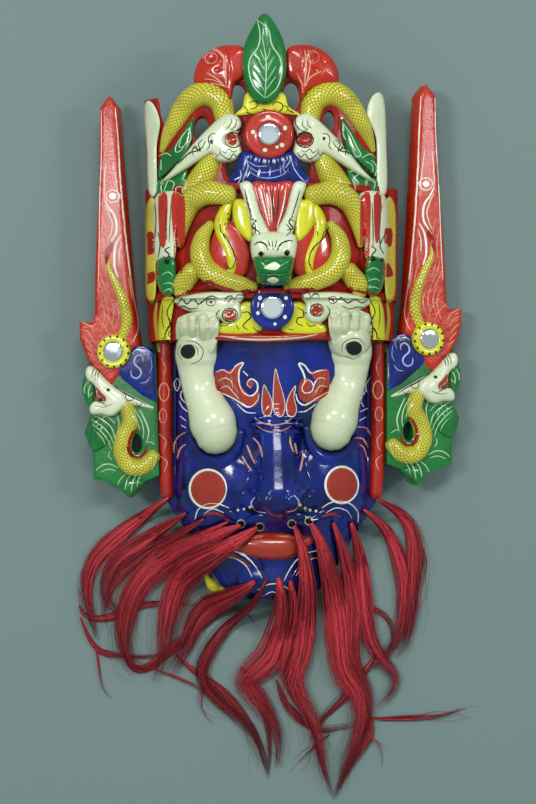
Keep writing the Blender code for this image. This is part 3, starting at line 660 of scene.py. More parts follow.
@dataclass
class Blank:
    """The roughed-out block: a dome of a face, a helmet over it and the arched crown.

    Each station is a place up the mask, the half width there, the height of the middle, the height of the
    side and the width of the ledge beside the face.
    """
    stations: tuple = (
        (-174, 15, 27, 18, 0), (-169, 34, 40, 19, 0), (-158, 48, 52, 21, 0), (-141, 58, 61, 24, 0),
        (-122, 68, 69, 28, 0), (-104, 79, 76, 30, 0), (-88, 89, 82, 32, 7), (-74, 97, 86, 34, 14),
        (-40, 99, 88, 34, 16), (0, 99, 92, 34, 16), (51, 99, 95, 34, 16), (52, 105, 103, 40, 0),
        (85, 106, 105, 42, 0), (86, 108, 112, 44, 0), (120, 108, 114, 46, 0), (181, 108, 112, 48, 0))
    fullness: float = 2.3
    shoulder: float = 0.6
    wall: float = 13.0
    crown_centre: float = 110.0
    crown_feet: float = 46.0
    crown_half: float = 113.0
    crown_bed: float = 8.0

    def sizes(self, y: np.ndarray) -> tuple[np.ndarray, ...]:
        """Half width, middle height, side height and ledge width at places up the mask."""
        columns = list(zip(*self.stations))
        return tuple(np.interp(y, columns[0], column) for column in columns[1:])

    def across(self, u: np.ndarray, middle: np.ndarray, side: np.ndarray) -> np.ndarray:
        """Height of the dome, u from -1 to 1 across it."""
        return side + (middle - side) * np.clip(1 - np.abs(u) ** self.fullness, 0, 1) ** self.shoulder

    def front(self, x: np.ndarray, y: np.ndarray) -> np.ndarray:
        """Height of the block's front over grid points."""
        half, middle, side, ledge = self.sizes(y)
        return self.across(np.clip(np.abs(x) / (half - ledge), 0, 1), middle, side)

    def crown(self, x: np.ndarray, y: np.ndarray) -> np.ndarray:
        """Height of the crown's front over grid points."""
        return self.crown_feet + (self.crown_centre - self.crown_feet) * np.sqrt(
            np.clip(1 - (x / self.crown_half) ** 2, 0, 1))

    def crown_low(self, x: np.ndarray, y: np.ndarray) -> np.ndarray:
        """Height of the pierced plate, which lies under the carving of the crown."""
        return self.crown(x, y) - self.crown_bed


BLANK = Blank()


def flat_board(x: np.ndarray, y: np.ndarray) -> np.ndarray:
    """Ground of the wings, which are carved on a flat board."""
    return np.zeros(len(x))


def wing_surface(sweep: float) -> Surface:
    """Flat front of a wing that leans back by this angle."""
    def height(x: np.ndarray, y: np.ndarray) -> np.ndarray:
        """Height over grid points."""
        return WING_FRONT - (np.abs(x) - WING_ROOT) * math.tan(sweep)
    return height


class Shop:
    """Turns forms into objects in the frame, and keeps what is carved so that paint can be laid on it."""

    mirror_at = (0.4, 77.8)      # place of the brow mirror on the carver's grid

    def __init__(self) -> None:
        """Tie the grid to the frame."""
        low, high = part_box("mirror_brow")
        middle = (low + high) / 2
        self.origin = np.array([middle.x - self.mirror_at[0] * MM, middle.y - self.mirror_at[1] * MM, 0.0])
        self.materials: dict[str, bpy.types.Material] = {}
        self.carved: list[Form] = []

    def to_frame(self, points: np.ndarray) -> np.ndarray:
        """Grid points in the frame's metres."""
        return np.asarray(points) * MM + self.origin

    def material(self, finish: Finish) -> bpy.types.Material:
        """The finish's material, made once."""
        if finish.name not in self.materials:
            self.materials[finish.name] = finish.material()
        return self.materials[finish.name]

    def add(self, name: str, forms: Sequence[Form], finish: Finish, slot: Slot,
            replaces: Sequence[str] = (), carved: bool = True, sharp: float = 38) -> bpy.types.Object:
        """Join forms into one object that rides on the frame.

        Args:
            name: name of the piece.
            forms: what it is made of.
            finish: its finish.
            slot: material slot of the record; not used.
            replaces: CAD nodes that it stands for.
            carved: whether paint may be laid on it.
            sharp: angle in degrees over which an edge stays sharp.

        Returns:
            The object.
        """
        points, faces, uvs, tones = [], [], [], []
        first = 0
        for form in forms:
            points.append(form.points)
            faces += [tuple(first + i for i in face) for face in form.faces]
            corners = sum(len(face) for face in form.faces)
            uvs.append(form.uvs if form.uvs is not None else np.zeros((corners, 2)))
            tones.append(form.tones if form.tones is not None else np.zeros(len(form.points)))
            first += len(form.points)
        mesh = bpy.data.meshes.new(name)
        mesh.from_pydata(self.to_frame(np.concatenate(points)), [], faces)
        if any(form.uvs is not None for form in forms):
            layer = mesh.uv_layers.new(name="scales")
            layer.data.foreach_set("uv", np.concatenate(uvs).ravel())
        if any(form.tones is not None for form in forms):
            layer = mesh.attributes.new("tone", "FLOAT", "POINT")
            layer.data.foreach_set("value", np.concatenate(tones))
        mesh.shade_smooth()
        if sharp:
            mesh.set_sharp_from_angle(angle=math.radians(sharp))
        mesh.materials.append(self.material(finish))
        obj = bpy.data.objects.new(name, mesh)
        bpy.context.scene.collection.objects.link(obj)
        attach(obj, "root")
        if replaces:
            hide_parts(*replaces)
        if carved:
            self.carved += forms
        log.info("%s: %d faces", name, len(faces))
        return obj


def on_side(line: Sequence[Point], side: int, axis: float) -> Sequence[Point]:
    """The line as drawn for the right side, or mirrored for the left."""
    return line if side > 0 else mirrored(line, axis)


def cuts_on(cuts: Sequence[tuple], side: int, axis: float) -> list[tuple]:
    """Grooves (route, width, depth) drawn for the right side, as they lie on this side."""
    return [(on_side(line, side, axis), wide, deep) for line, wide, deep in cuts]


def dents_on(dents: Sequence[tuple], side: int, axis: float) -> list[tuple]:
    """Dents (x, y, half sizes, depth) drawn for the right side, as they lie on this side."""
    return [(x if side > 0 else 2 * axis - x, *rest) for x, *rest in dents]


def both(maker: Callable[..., Form], outline: Sequence[Point], axis: float, surface: Surface,
         lift: float = 0, **sizes: object) -> list[Form]:
    """The same carving on the right and, mirrored, on the left of a middle line."""
    return [maker(outline, surface, **sizes), maker(mirrored(outline, axis, lift), surface, **sizes)]


# The block with face and helmet

@dataclass
class Block:
    """The block of poplar: a blue face below, the red helmet above, and the hollow at its back."""
    blank: Blank = field(default_factory=Blank)
    columns: int = 200
    row_step: float = 1.3
    hollow_foot: float = -5.0
    helmet_edge: float = 51.0
    # place (for pairs, the distance from the middle), half sizes and depth or height
    socket: tuple = (50, -12, 25, 34, 7)
    mouth: tuple = (0, -112, 40, 10, 7)
    comb: tuple = (3, -99, 19, 9, 0.9)       # of the fluted upper lip
    nostril: tuple = (19, -83, 15, 11, 11)
    chin: tuple = (1, -151, 31, 15, 13)
    chin_sunk: float = 6.0       # how far the chin's ball starts under the face
    flute: float = 4.4           # distance between the flutes of the lip
    fold_deep: float = 3.2
    fold_wide: float = 4.5
    bridge: float = -17.0        # where the nose begins to rise
    nose_slope: float = 0.34
    deepest: float = 9.0         # how far the carving may go under the block's front
    # between the first two heights the ground of the band lies deeper by the third
    band_cut: tuple = (91.0, 176.0, 5.0)
    blend: float = 0.4          # how tightly carved forms run into each other, per millimetre
    face_axis: float = 4.5
    arm_axis: float = 1.8
    nose: tuple = ((4.5, -12, 8), (4.5, -28, 12), (5.0, -45, 15), (5.5, -61, 18), (6, -73, 19.5),
                   (6, -80, 16))
    pouch: tuple = ((29, -22, 2.5), (33, -37, 4), (46, -47, 4.5), (61, -43, 4), (71, -30, 2.5))
    wrinkles: tuple = (((-14, -14, 1.6), (4, -12, 2.6), (23, -14, 1.6)), ((-16, -19, 1.8), (4, -17, 3.2),
                       (25, -19, 1.8)), ((-14, -25, 1.4), (4, -23, 2.6), (23, -25, 1.4)))
    cheeks: tuple = ((56, -72, 40, 34), (-50, -75, 40, 34))
    cheek_swell: float = 6.0
    folds: tuple = (((20, -62), (26, -76), (34, -88), (44, -96)), ((27, -18), (26, -34), (22, -52),
                    (21, -64)))

    def tube_height(self, spots: np.ndarray, route: Sequence[Point], bury: float) -> np.ndarray:
        """Height of a round form along a route, far below the ground where it isn't."""
        line = smooth(route, 2.0)
        far, near = distance_to(spots, line, False)
        radius = near[:, 2]
        round_top = np.sqrt(np.clip(radius ** 2 - far ** 2, 0, None))
        over = self.blank.front(near[:, 0], near[:, 1]) - bury * radius + round_top
        return np.where(far < radius, over, NOWHERE)

    def carve(self, spots: np.ndarray, height: np.ndarray) -> np.ndarray:
        """Carve the face into the block's front."""
        x, y = spots.T
        ground = height.copy()
        for side in (-1, 1):
            away, cy, wide, tall, deep = self.socket
            socket = np.hypot((x - (self.arm_axis + side * away)) / wide, (y - cy) / tall)
            height -= deep * np.clip(1 - socket ** 2, 0, 1) ** 0.7
            for line in self.folds:
                route = [(self.face_axis + side * (px - self.face_axis), py) for px, py in line]
                far, _ = distance_to(spots, smooth(route, 2), False)
                height -= self.fold_deep * np.exp(-(far / self.fold_wide) ** 2)
        cx, cy, wide, tall, deep = self.mouth
        mouth = np.hypot((x - cx) / wide, (y - cy) / tall)
        height -= deep * np.clip(1 - mouth ** 2, 0, 1) ** 0.7
        far, near = distance_to(spots, smooth(self.nose, 2.0), False)
        peak = 0.4 * near[:, 2] + np.clip(self.bridge - near[:, 1], 0, 99) * self.nose_slope
        height += peak * np.clip(1 - (far / (1.4 * near[:, 2])) ** 3, 0, 1) ** 1.5
        cx, cy, wide, tall, swell = self.comb
        lip = np.clip(1 - ((x - cx) / wide) ** 2 - ((y - cy) / tall) ** 2, 0, 1)
        height += swell * np.cos(2 * math.pi * x / self.flute) * lip
        forms = [self.tube_height(spots, line, 0.3) for line in self.wrinkles]
        forms += [self.tube_height(spots, self.pouch, 0.25),
                  self.tube_height(spots, mirrored(self.pouch, self.arm_axis, -3), 0.25)]
        for cx, cy, wide, tall in self.cheeks:
            off = ((x - cx) / wide) ** 2 + ((y - cy) / tall) ** 2
            height += self.cheek_swell * np.clip(1 - off, 0, 1) ** 0.8
        for side in (-1, 1):
            away, cy, wide, tall, swell = self.nostril
            off = ((x - (self.face_axis + 1.5 + side * away)) / wide) ** 2 + ((y - cy) / tall) ** 2
            height += swell * np.clip(1 - off, 0, 1) ** 1.2
        cx, cy, wide, tall, swell = self.chin
        chin = ((x - cx) / wide) ** 2 + ((y - cy) / tall) ** 2
        middle = self.blank.front(np.array([0.0]), np.array([float(cy)]))[0] - self.chin_sunk
        forms.append(np.where(chin < 1, middle + swell * np.sqrt(np.clip(1 - chin, 0, 1)), NOWHERE))
        for form in forms:
            height = np.where(form > NOWHERE / 2,
                              np.logaddexp(self.blend * height, self.blend * form) / self.blend, height)
        return np.maximum(height, ground - self.deepest)

    def part(self, low: float, high: float, carved: bool) -> Form:
        """The part of the block between two places up the mask, as a closed form."""
        marks = [y for y, *_ in self.blank.stations if low < y < high]
        rows = np.unique(np.round(np.concatenate([np.arange(low, high, self.row_step), marks, [high]]), 3))
        t = np.linspace(-1, 1, self.columns - 1)
        u = np.sin(math.pi / 2 * t)
        half, middle, side, ledge = (a[:, None] for a in self.blank.sizes(rows))
        x = np.concatenate([-half, u[None, :] * (half - ledge - 0.5), half], 1)
        y = np.broadcast_to(rows[:, None], x.shape)
        z = self.blank.front(x, y)
        if carved:
            spots = np.stack([x.ravel(), y.ravel()], 1)
            z = self.carve(spots, z.ravel().copy()).reshape(z.shape)
        elif low > 0:
            from_y, to_y, deep = self.band_cut
            between = np.clip(np.minimum(y - from_y, to_y - y) / 3, 0, 1)
            z = z - deep * between * np.clip((half - 8 - np.abs(x)) / 3, 0, 1)
        top = np.stack([x, y, z], -1).reshape(-1, 3)
        wide, count = x.shape[1], len(top)
        faces = [(a, a + 1, a + wide + 1, a + wide)
                 for r in range(len(rows) - 1) for a in range(r * wide, (r + 1) * wide - 1)]
        rim = list(range(wide)) + [(r + 1) * wide + wide - 1 for r in range(len(rows) - 1)]
        rim += list(range(count - 2, count - wide - 1, -1))
        rim += [r * wide for r in range(len(rows) - 2, 0, -1)]
        feet = top[rim] * np.array([1, 1, 0])
        around = len(rim)
        for i in range(around):
            j = (i + 1) % around
            faces.append((rim[j], rim[i], count + i, count + j))
        faces.append(tuple(count + i for i in range(around - 1, -1, -1)))
        return Form(np.concatenate([top, feet]), faces)

    def hollow(self) -> Form:
        """The hollow that is gouged out of the back."""
        low = self.blank.stations[0][0] + self.blank.wall
        high = self.blank.stations[-1][0] - self.blank.wall
        inner = Blank(stations=tuple((y, half - self.blank.wall, middle - self.blank.wall,
                                      max(side - self.blank.wall, 8), ledge)
                                     for y, half, middle, side, ledge in self.blank.stations))
        shape = Block(blank=inner, columns=40, row_step=6).part(low, high, False)
        shape.points[shape.points[:, 2] < TINY, 2] = self.hollow_foot
        return shape

    def build(self, shop: Shop) -> None:
        """Make the face and the helmet's ground."""
        first, last = self.blank.stations[0][0], self.blank.stations[-1][0]
        cutter = shop.add("hollow", [self.hollow()], WOOD, Slot.BODY, carved=False)
        # the helmet's ground takes the red that is darkened as painted shade for its recess
        for name, low, high, finish in (("face", first, self.helmet_edge + 0.5, BLUE),
                                        ("helmet_ground", self.helmet_edge, last, SHADED_RED)):
            piece = shop.add(name, [self.part(low, high, name == "face")], finish, Slot.BODY,
                             ["mask_body"] if name == "face" else ())
            piece.data.materials.append(shop.material(WOOD))
            cut = piece.modifiers.new("hollow", "BOOLEAN")
            cut.operation = "DIFFERENCE"
            cut.solver = "EXACT"
            cut.material_mode = "TRANSFER"
            cut.object = cutter
            bpy.context.view_layer.update()
            made = bpy.data.meshes.new_from_object(piece.evaluated_get(bpy.context.evaluated_depsgraph_get()))
            piece.modifiers.clear()
            old = piece.data
            piece.data = made
            bpy.data.meshes.remove(old)
        bpy.data.objects.remove(cutter)


# Crown

@dataclass
class Crown:
    """Openwork crown: leaf, lobes, gold arches, posts, dragon heads, skirt and leaves on a pierced plate."""
    axis: float = -3.5
    thickness: float = 16.0
    plate: tuple = ((-103, 174), (-107, 215), (-108, 257), (-96, 257), (-94, 244), (-90, 233), (-84, 244),
                    (-76, 254), (-66, 263), (-61, 279), (-48, 293), (-36, 292), (-24, 288), (-16, 305),
                    (-6, 315), (4, 304), (11, 288), (24, 292), (36, 291), (46, 285), (52, 276), (58, 262),
                    (68, 252), (75, 242), (80, 234), (83, 246), (85, 259), (94, 258), (96, 215), (95, 174))
    holes: tuple = ((-28.6, 253, 7.5, 12.5), (16.2, 254, 7, 13), (-58.5, 227, 6.5, 12), (47.7, 234, 5, 9.5),
                    (-31, 194, 7, 9), (25.3, 194, 7, 8.5))
    leaf: tuple = ((-6, 321), (5, 309), (11.5, 291), (12, 270), (5, 252), (-6, 246), (-17, 252),
                   (-23.5, 270), (-23.5, 291), (-16, 309))
    lobe: tuple = ((13, 292), (26, 296), (38, 294), (49, 287), (55, 276), (55, 266), (43, 264), (31, 259),
                   (25, 251), (22, 264), (13, 272))
    arch: tuple = ((32, 238, 8.5), (35, 249, 9.8), (42, 255.5, 10.3), (51, 257, 10.3), (60, 253, 10),
                   (67, 245.5, 9.2), (73, 236, 8), (79.5, 225, 6), (85, 212, 2.5))
    head: tuple = ((20.5, 235.5), (26, 238.5), (33.4, 237.5), (44, 229), (59, 214), (74.5, 196),
                   (86.5, 183.5), (71.5, 190), (54, 200.5), (43, 206), (40, 202), (33.4, 199), (24.2, 200),
                   (18, 205), (19, 213), (21, 221), (18, 229))
    body: tuple = ((42, 203, 8), (49, 189, 11), (58, 176, 11))
    upper_leaf: tuple = ((58, 237), (67, 227), (76, 214), (87, 205), (88, 188), (75, 197), (62, 210))
    lower_leaf: tuple = ((63, 194), (76, 190), (89, 186), (88, 172), (70, 171))
    skirt: tuple = ((-24, 207), (-2, 204), (19, 207), (25, 194), (32, 180), (-2, 178), (-35, 180),
                    (-29, 194))
    yellow: tuple = ((-19, 257), (8, 257), (14, 245), (23, 238), (-2, 240), (-29, 238), (-24, 245))
    post: tuple = ((85, 257), (94.5, 256), (97, 214), (97, 178), (89, 178), (88, 220), (80, 240))
    post_left: tuple = ((-108, 251), (-101, 253), (-94, 236), (-97, 214), (-97, 178), (-104, 178),
                        (-106, 214))

    def build(self, shop: Shop) -> None:
        """Make the crown."""
        high, low = BLANK.crown, BLANK.crown_low
        holes = [oval(*hole) for hole in self.holes]
        # the pierced plate takes the red that is darkened as painted shade for its depth
        shop.add("crown_plate", [relief(self.plate, low, edge=0, rise=0, sink=self.thickness, holes=holes,
                                        spacing=2.0, soften=1.6, sharp=True)],
                 SHADED_RED, Slot.BODY)
        veins = [(((-6, 318), (-6, 250)), 0.9, 0.3)]
        veins += [(((-6, y), (-6 + side * 11, y + 12)), 0.8, 0.2)
                  for y in (256, 266, 276) for side in (-1, 1)]
        shop.add("crown_leaf", [relief(self.leaf, high, edge=1, rise=6, sink=22, spacing=1.2,
                                       grooves=veins)], GREEN, Slot.BODY)
        curl = [(oval(37, 281, 6, 6)[:13], 1.2, 1.2), (((28, 257), (26, 275), (30, 294)), 1.2, 1.0)]
        lobes = [relief(on_side(self.lobe, side, self.axis - 1), low, edge=5, rise=4, sink=14,
                        spacing=1.3, grooves=cuts_on(curl, side, self.axis - 1)) for side in (1, -1)]
        shop.add("crown_lobes", lobes, RED, Slot.BODY)
        shop.add("crown_arches", both(swept, self.arch, self.axis, low, bury=0.1, sides=28)
                 + both(swept, self.body, self.axis, low, bury=0.15, sides=28), SCALES, Slot.BODY)
        posts = [relief(outline, low, edge=4, rise=1.5, sink=20, spacing=1.5)
                 for outline in (self.post, self.post_left)]
        shop.add("crown_posts", posts, CREAM, Slot.BODY)
        jaw = [(((21, 201), (24, 204)), 0.9, 0.8), (((27, 199), (28, 203)), 0.9, 0.8),
               (((33, 198.5), (33, 202.5)), 0.9, 0.8), (((39, 200), (37, 204)), 0.9, 0.8),
               (((27, 236), (27.5, 228), (31, 226)), 1.0, 0.9), (((32, 235), (33, 229)), 0.8, 0.6)]
        dent = [(27.5, 216.5, 6.6, 5.6, 4.5), (43.5, 217.5, 2, 1.8, 0.6)]
        heads = [relief(on_side(self.head, side, self.axis), low, edge=8, rise=5, sink=12, spacing=1.1,
                        swell=9, dents=dents_on(dent, side, self.axis),
                        grooves=cuts_on(jaw, side, self.axis)) for side in (1, -1)]
        shop.add("crown_dragon_heads", heads, CREAM, Slot.BODY)
        fold = [(((x, 204), (x * 1.25, 192), (x * 1.4 - 1, 181)), 1.3, 0.6) for x in (-16, -9, -2, 5, 12)]
        shop.add("crown_skirt", [relief(self.skirt, high, edge=0, rise=3, sink=16, spacing=1.3,
                                        grooves=fold)], BLUE, Slot.BODY)
        shop.add("crown_yellow_plate", [relief(self.yellow, low, edge=3, rise=1, sink=10)], LEMON,
                 Slot.BODY)
        leaves = both(relief, self.upper_leaf, self.axis, low, edge=2, rise=2.5, sink=10)
        leaves += both(relief, self.lower_leaf, self.axis, low, edge=4, rise=2.5, sink=10)
        shop.add("crown_side_leaves", leaves, GREEN, Slot.BODY)


# Helmet band

@dataclass
class Band:
    """Band of the helmet: centre dragon head with a striped mane, gold loops, flames, petals, side heads."""
    axis: float = -1.0
    face: tuple = ((-15, 137), (1.6, 140), (19, 137), (20, 122), (14, 115), (-11, 115), (-17, 122))
    snout: tuple = ((-14, 118), (1.6, 119), (17.5, 118), (16.5, 105), (12.5, 96.5), (-9, 96.5), (-13, 105))
    side_axis: float = -1.0      # middle line of the two side heads
    horn: tuple = ((28.1, 179.5), (18.2, 179.5), (11.3, 156), (3.4, 137), (14.8, 134), (20.5, 152.5),
                   (25, 168))
    mane: tuple = ((-16, 180), (1.2, 180.5), (18, 180), (12.5, 156), (5.5, 137), (-2, 137), (-10, 156))
    petal: tuple = ((20, 163), (27, 167), (35, 166), (36, 152), (31, 140), (20, 133))
    flame: tuple = ((33, 164, 3), (37, 156, 5.5), (39.5, 147, 6.2), (38, 137, 5.4), (33.5, 127, 5),
                    (30.5, 117, 5), (31, 108, 4.4), (37, 106.5, 2.8))
    coil: tuple = ((35, 171, 8.5), (52, 173, 10), (65, 166, 9.5), (71, 150, 6.5), (74, 131, 2.5))
    loop: tuple = ((49, 146, 4.2), (55.4, 136, 7), (57, 122.3, 8.8), (51, 109.5, 9.6), (38, 101.2, 8.6),
                   (21, 96.5, 6.5), (13, 95, 4))
    flame_bed: tuple = ((48, 133), (48.8, 120.7), (43, 107.4), (30.6, 101.7), (19.9, 105.8), (16.6, 119),
                        (19.9, 134), (27.3, 145.5), (36.4, 149.5), (43.9, 143))
    tail: tuple = ((64, 108, 8), (72, 98, 9), (73, 93, 7))
    side_head: tuple = ((73, 172), (95.5, 173), (97.5, 140), (95, 118), (80, 118), (77, 140))
    side_snout: tuple = ((79, 119), (94, 119), (95, 106), (90, 91), (80, 91))
    side_edge: tuple = ((96, 166), (105, 166), (106, 128), (105, 91), (96, 91))

    def build(self, shop: Shop) -> None:
        """Make the band."""
        front = BLANK.front
        wrinkles = [(((x, 139), (x * 0.7 + 0.5, 132), (x * 0.9, 127)), 0.9, 0.9) for x in (-4, 0, 4, 8)]
        eyes = [(-8.5, 122.5, 3, 2.5, -1.2), (12.5, 122.5, 3, 2.5, -1.2)]
        shop.add("band_dragon_face",
                 [relief(self.face, front, edge=8, rise=8, sink=8, spacing=1.2, grooves=wrinkles,
                         dents=eyes)]
                 + both(relief, self.horn, 1, front, edge=7, rise=2.5, sink=7), CREAM, Slot.BODY)
        lips = [(((-15, 106), (1.6, 103.5), (18, 106)), 1.1, 1.8),
                (((-13, 99), (1.6, 97), (16, 99)), 0.8, 0.7)]
        nose = [(-4.5, 113.5, 2.4, 1.8, 1.0), (7.5, 113.5, 2.4, 1.8, 1.0)]
        shop.add("band_dragon_snout",
                 [relief(self.snout, front, edge=22, rise=9, sink=8, spacing=1.2, swell=13, grooves=lips,
                         dents=nose, soften=2.5)], GREEN, Slot.BODY)
        strands = [(((x, 178), (x * 0.6 + 0.6, 158), (x * 0.2 + 1.3, 140)), 0.9, 0.6)
                   for x in (-12, -6, 0, 6, 12, 17)]
        shop.add("band_dragon_mane",
                 [relief(self.mane, front, edge=5, rise=2.5, sink=8, spacing=1.1, grooves=strands)],
                 RED, Slot.BODY)
        shop.add("band_petals", both(relief, self.petal, 2, front, edge=3, rise=3, sink=6)
                 + both(swept, self.flame, self.axis, front, bury=0.2, sides=18), LEMON, Slot.BODY)
        shop.add("band_flame_beds",
                 both(relief, self.flame_bed, self.axis, front, edge=1, rise=1.5, sink=8),
                 RED, Slot.BODY)
        gold = []
        for route, sides in ((self.coil, 26), (self.loop, 22), (self.tail, 24)):
            gold += both(swept, route, self.axis, front, bury=0, sides=sides)
        shop.add("band_gold_loops", gold, SCALES, Slot.BODY)
        stripes = [(((x, 172), (x + 1, 150), (x + 1, 132)), 0.9, 0.9) for x in (82, 86, 90)]
        side_heads = [relief(on_side(self.side_head, side, self.side_axis), front, edge=5, rise=4, sink=7,
                             grooves=cuts_on(stripes, side, self.side_axis)) for side in (1, -1)]
        shop.add("band_side_heads", side_heads, CREAM, Slot.BODY)
        cut = [(((79, 106), (87, 104), (95, 106)), 1.0, 1.2), (((79, 98), (87, 96), (94, 98)), 0.8, 0.7)]
        snouts = [relief(on_side(self.side_snout, side, self.side_axis), front, edge=9, rise=4, sink=7,
                         grooves=cuts_on(cut, side, self.side_axis)) for side in (1, -1)]
        shop.add("band_side_snouts", snouts, GREEN, Slot.BODY)
        shop.add("band_side_edges", both(relief, self.side_edge, -1, front, edge=3, rise=1, sink=6),
                 GOLD, Slot.BODY)


# Brow tier

@dataclass
class BrowTier:
    """Tier over the forehead: cream dragon heads that bite the blue boss, yellow grounds and flame strips."""
    axis: float = 1.0            # middle line of the two heads
    head: tuple = ((84, 84), (76, 87.5), (64, 90), (50, 91), (38, 90.5), (27, 90), (25, 86), (28, 81),
                   (27, 72), (32, 66), (40, 65.5), (45, 68.5), (50, 72), (60, 73.5), (73, 76.5))
    strip: tuple = ((82, 87), (92, 86), (96, 66), (95, 44), (86, 43), (85, 64))
    ground: tuple = ((16, 82), (30, 80), (33, 70), (44, 64), (43, 57), (14, 57), (8, 63))
    rim: tuple = ((-46, 54.6, 3.2), (-24, 53.6, 3.6), (0, 53.2, 3.8), (22, 54.2, 3.6), (43, 56, 3.2))

    def build(self, shop: Shop) -> None:
        """Make the tier."""
        front = BLANK.front
        cuts = [(((31, 84), (33, 79), (38, 79)), 0.9, 0.8), (((36, 84), (38, 80)), 0.8, 0.6)]
        dents = [(37.5, 75, 4.5, 4, 2.2)]
        heads = [relief(on_side(self.head, side, self.axis), front, edge=5, rise=5, sink=8, spacing=1.2,
                        grooves=cuts_on(cuts, side, self.axis),
                        dents=dents_on(dents, side, self.axis)) for side in (1, -1)]
        shop.add("brow_dragon_heads", heads, CREAM, Slot.BODY)
        shop.add("brow_yellow_grounds", both(relief, self.ground, 0, front, edge=2, rise=1.5, sink=5),
                 LEMON, Slot.BODY)
        shop.add("brow_flame_strips", both(relief, self.strip, 0, front, edge=4, rise=2, sink=7), LEMON,
                 Slot.BODY)
        shop.add("helmet_rim", [swept(self.rim, front, bury=0.3, sides=16)], RED, Slot.BODY)


# Arms, lips and columns of the face

@dataclass
class FaceParts:
    """Arms out of the eye sockets, the mouth, the curled moustache and the red columns beside the face."""
    arm_axis: float = 1.8
    arm: tuple = ((64.6, 54, 18), (65.2, 49, 19), (65.4, 41, 19.5), (65, 28, 17), (63, 13, 15.5),
                  (58, 0, 17), (53.5, -12, 20), (51, -19.5, 19.5), (50, -22.5, 18.5))
    palm: tuple = ((54, 44), (48, 58), (48, 74), (57, 78), (72, 77), (82, 72), (84, 60), (82, 48), (68, 42))
    fingers: tuple = (((54.5, 47, 2.6, 1.3), (51.5, 71, 4.8, 1.3)), ((61, 47, 2.6, 1.9),
                      (60.2, 72, 5, 1.5)), ((69, 47, 2.6, 1.9), (69.2, 72, 5, 1.5)),
                      ((76, 47, 2.6, 1.3), (78, 70, 4.8, 1.3)))
    column: tuple = ((91.5, 60, 6.5), (91.5, 10, 6.5), (91.5, -40, 6.5), (89.5, -78, 6))
    column_height: float = 40.0
    scroll: tuple = ((34, -99, 3.5), (40, -95, 5), (48, -92, 5.8), (60, -91, 6), (69, -96, 5),
                     (74, -105, 3), (74, -110, 1.5))
    lip: tuple = ((-36, -116.5, 4.5), (-20, -120.5, 10), (0, -122, 12.5), (17, -121, 11), (31, -117.5, 4.5))
    upper_lip: tuple = ((-20, -100, 2.5), (-10, -96, 5), (5, -95, 6.5), (20, -95, 5), (30, -97, 2.5))
    jaw: tuple = ((-50, -130, 2.5), (-36, -127, 4.5), (-20, -130, 5), (-9, -140, 4), (-7, -147, 2))
    lime: tuple = ((-62, -141, 1.5), (-56, -152, 3), (-50, -160, 5.5), (-42, -162, 3))

    def column_bed(self, x: np.ndarray, y: np.ndarray) -> np.ndarray:
        """Ground of the columns: one height, all along the side of the face."""
        return np.full(len(x), self.column_height)

    @staticmethod
    def palm_bed(x: np.ndarray, y: np.ndarray) -> np.ndarray:
        """Ground of the arms: the face, and a slope up from it to the helmet instead of its step."""
        slope = np.clip((y - 30) / 35, 0, 1)
        bed = BLANK.front(x, np.minimum(y, 50)) + 7 * slope ** 2 * (3 - 2 * slope)
        return np.maximum(bed, BLANK.front(x, y) + 13 * np.clip((y - 48) / 14, 0, 1) - 12)

    def build(self, shop: Shop) -> None:
        """Make the parts of the face."""
        front = BLANK.front
        arms = both(swept, self.arm, self.arm_axis, self.palm_bed, lift=-3, bury=0.12, sides=40, step=1.4)
        arms += both(relief, self.palm, self.arm_axis, self.palm_bed, lift=-3, edge=8, rise=2.5, sink=8)
        for finger in self.fingers:
            arms += both(swept, [spot[:3] for spot in finger], self.arm_axis, self.palm_bed, lift=-3,
                         bury=-finger[0][3], sides=16)
        shop.add("arms", arms, CREAM, Slot.BODY)
        shop.add("columns", both(swept, self.column, 0, self.column_bed, sides=24, step=3), RED, Slot.BODY)
        blue = both(swept, self.scroll, 4, front, bury=0.4, sides=20)
        blue += [swept(self.upper_lip, front, bury=0.2, sides=20),
                 swept(self.jaw, front, bury=0.35, sides=18)]
        shop.add("moustache_and_jaw", blue, BLUE, Slot.BODY)
        shop.add("lower_lip", [swept(self.lip, front, bury=0.55, sides=36)], RED_SPOT, Slot.BODY)
        shop.add("jaw_leaf", [swept(self.lime, front, bury=0.2, sides=16)], LEMON, Slot.BODY)


# Bosses and mirrors

@dataclass
class Boss:
    """Turned boss with a dished rim, and the little domed mirror let into it."""
    name: str
    ring: float                  # radius of the boss
    glass: float                 # diameter of the mirror
    finish: Enamel
    slot: Slot = Slot.BODY
    deep: float = 26.0
    glass_thick: float = 3.0
    seat: float = 2.0

    def forms(self) -> tuple[Form, Form]:
        """The boss and its mirror, round the top of the boss."""
        r, g = self.ring, self.glass / 2
        ring = turned([(g * 0.5, -self.seat), (g + 0.3, -self.seat), (g + 0.35, 0.0), (g + 1.2, 0.55),
                       (g + 2.2, 0.15), (r - 4.0, -0.1), (r - 2.2, 0.2), (r - 1.0, -0.35), (r - 0.2, -1.6),
                       (r, -3.4), (r, -self.deep)])
        top = self.glass_thick - self.seat + 0.3
        glass = turned([(g * 0.12, top), (g * 0.35, top - 0.05), (g * 0.6, top - 0.16),
                        (g * 0.8, top - 0.3),
                        (g - 0.5, top - 0.45), (g - 0.08, top - 0.8), (g, top - 1.2),
                        (g, top - self.glass_thick)])
        return ring, glass

    def build(self, shop: Shop, place: Callable[[np.ndarray], np.ndarray], flip: bool = False) -> None:
        """Make the boss and the mirror, put in place by a change of their points."""
        ring, glass = (form.moved(place, flip) for form in self.forms())
        shop.add("boss_" + self.name, [ring], self.finish, self.slot)
        shop.add("mirror_" + self.name + "_glass", [glass], GLASS, Slot.MIRROR, ["mirror_" + self.name],
                 carved=False)


# Wings

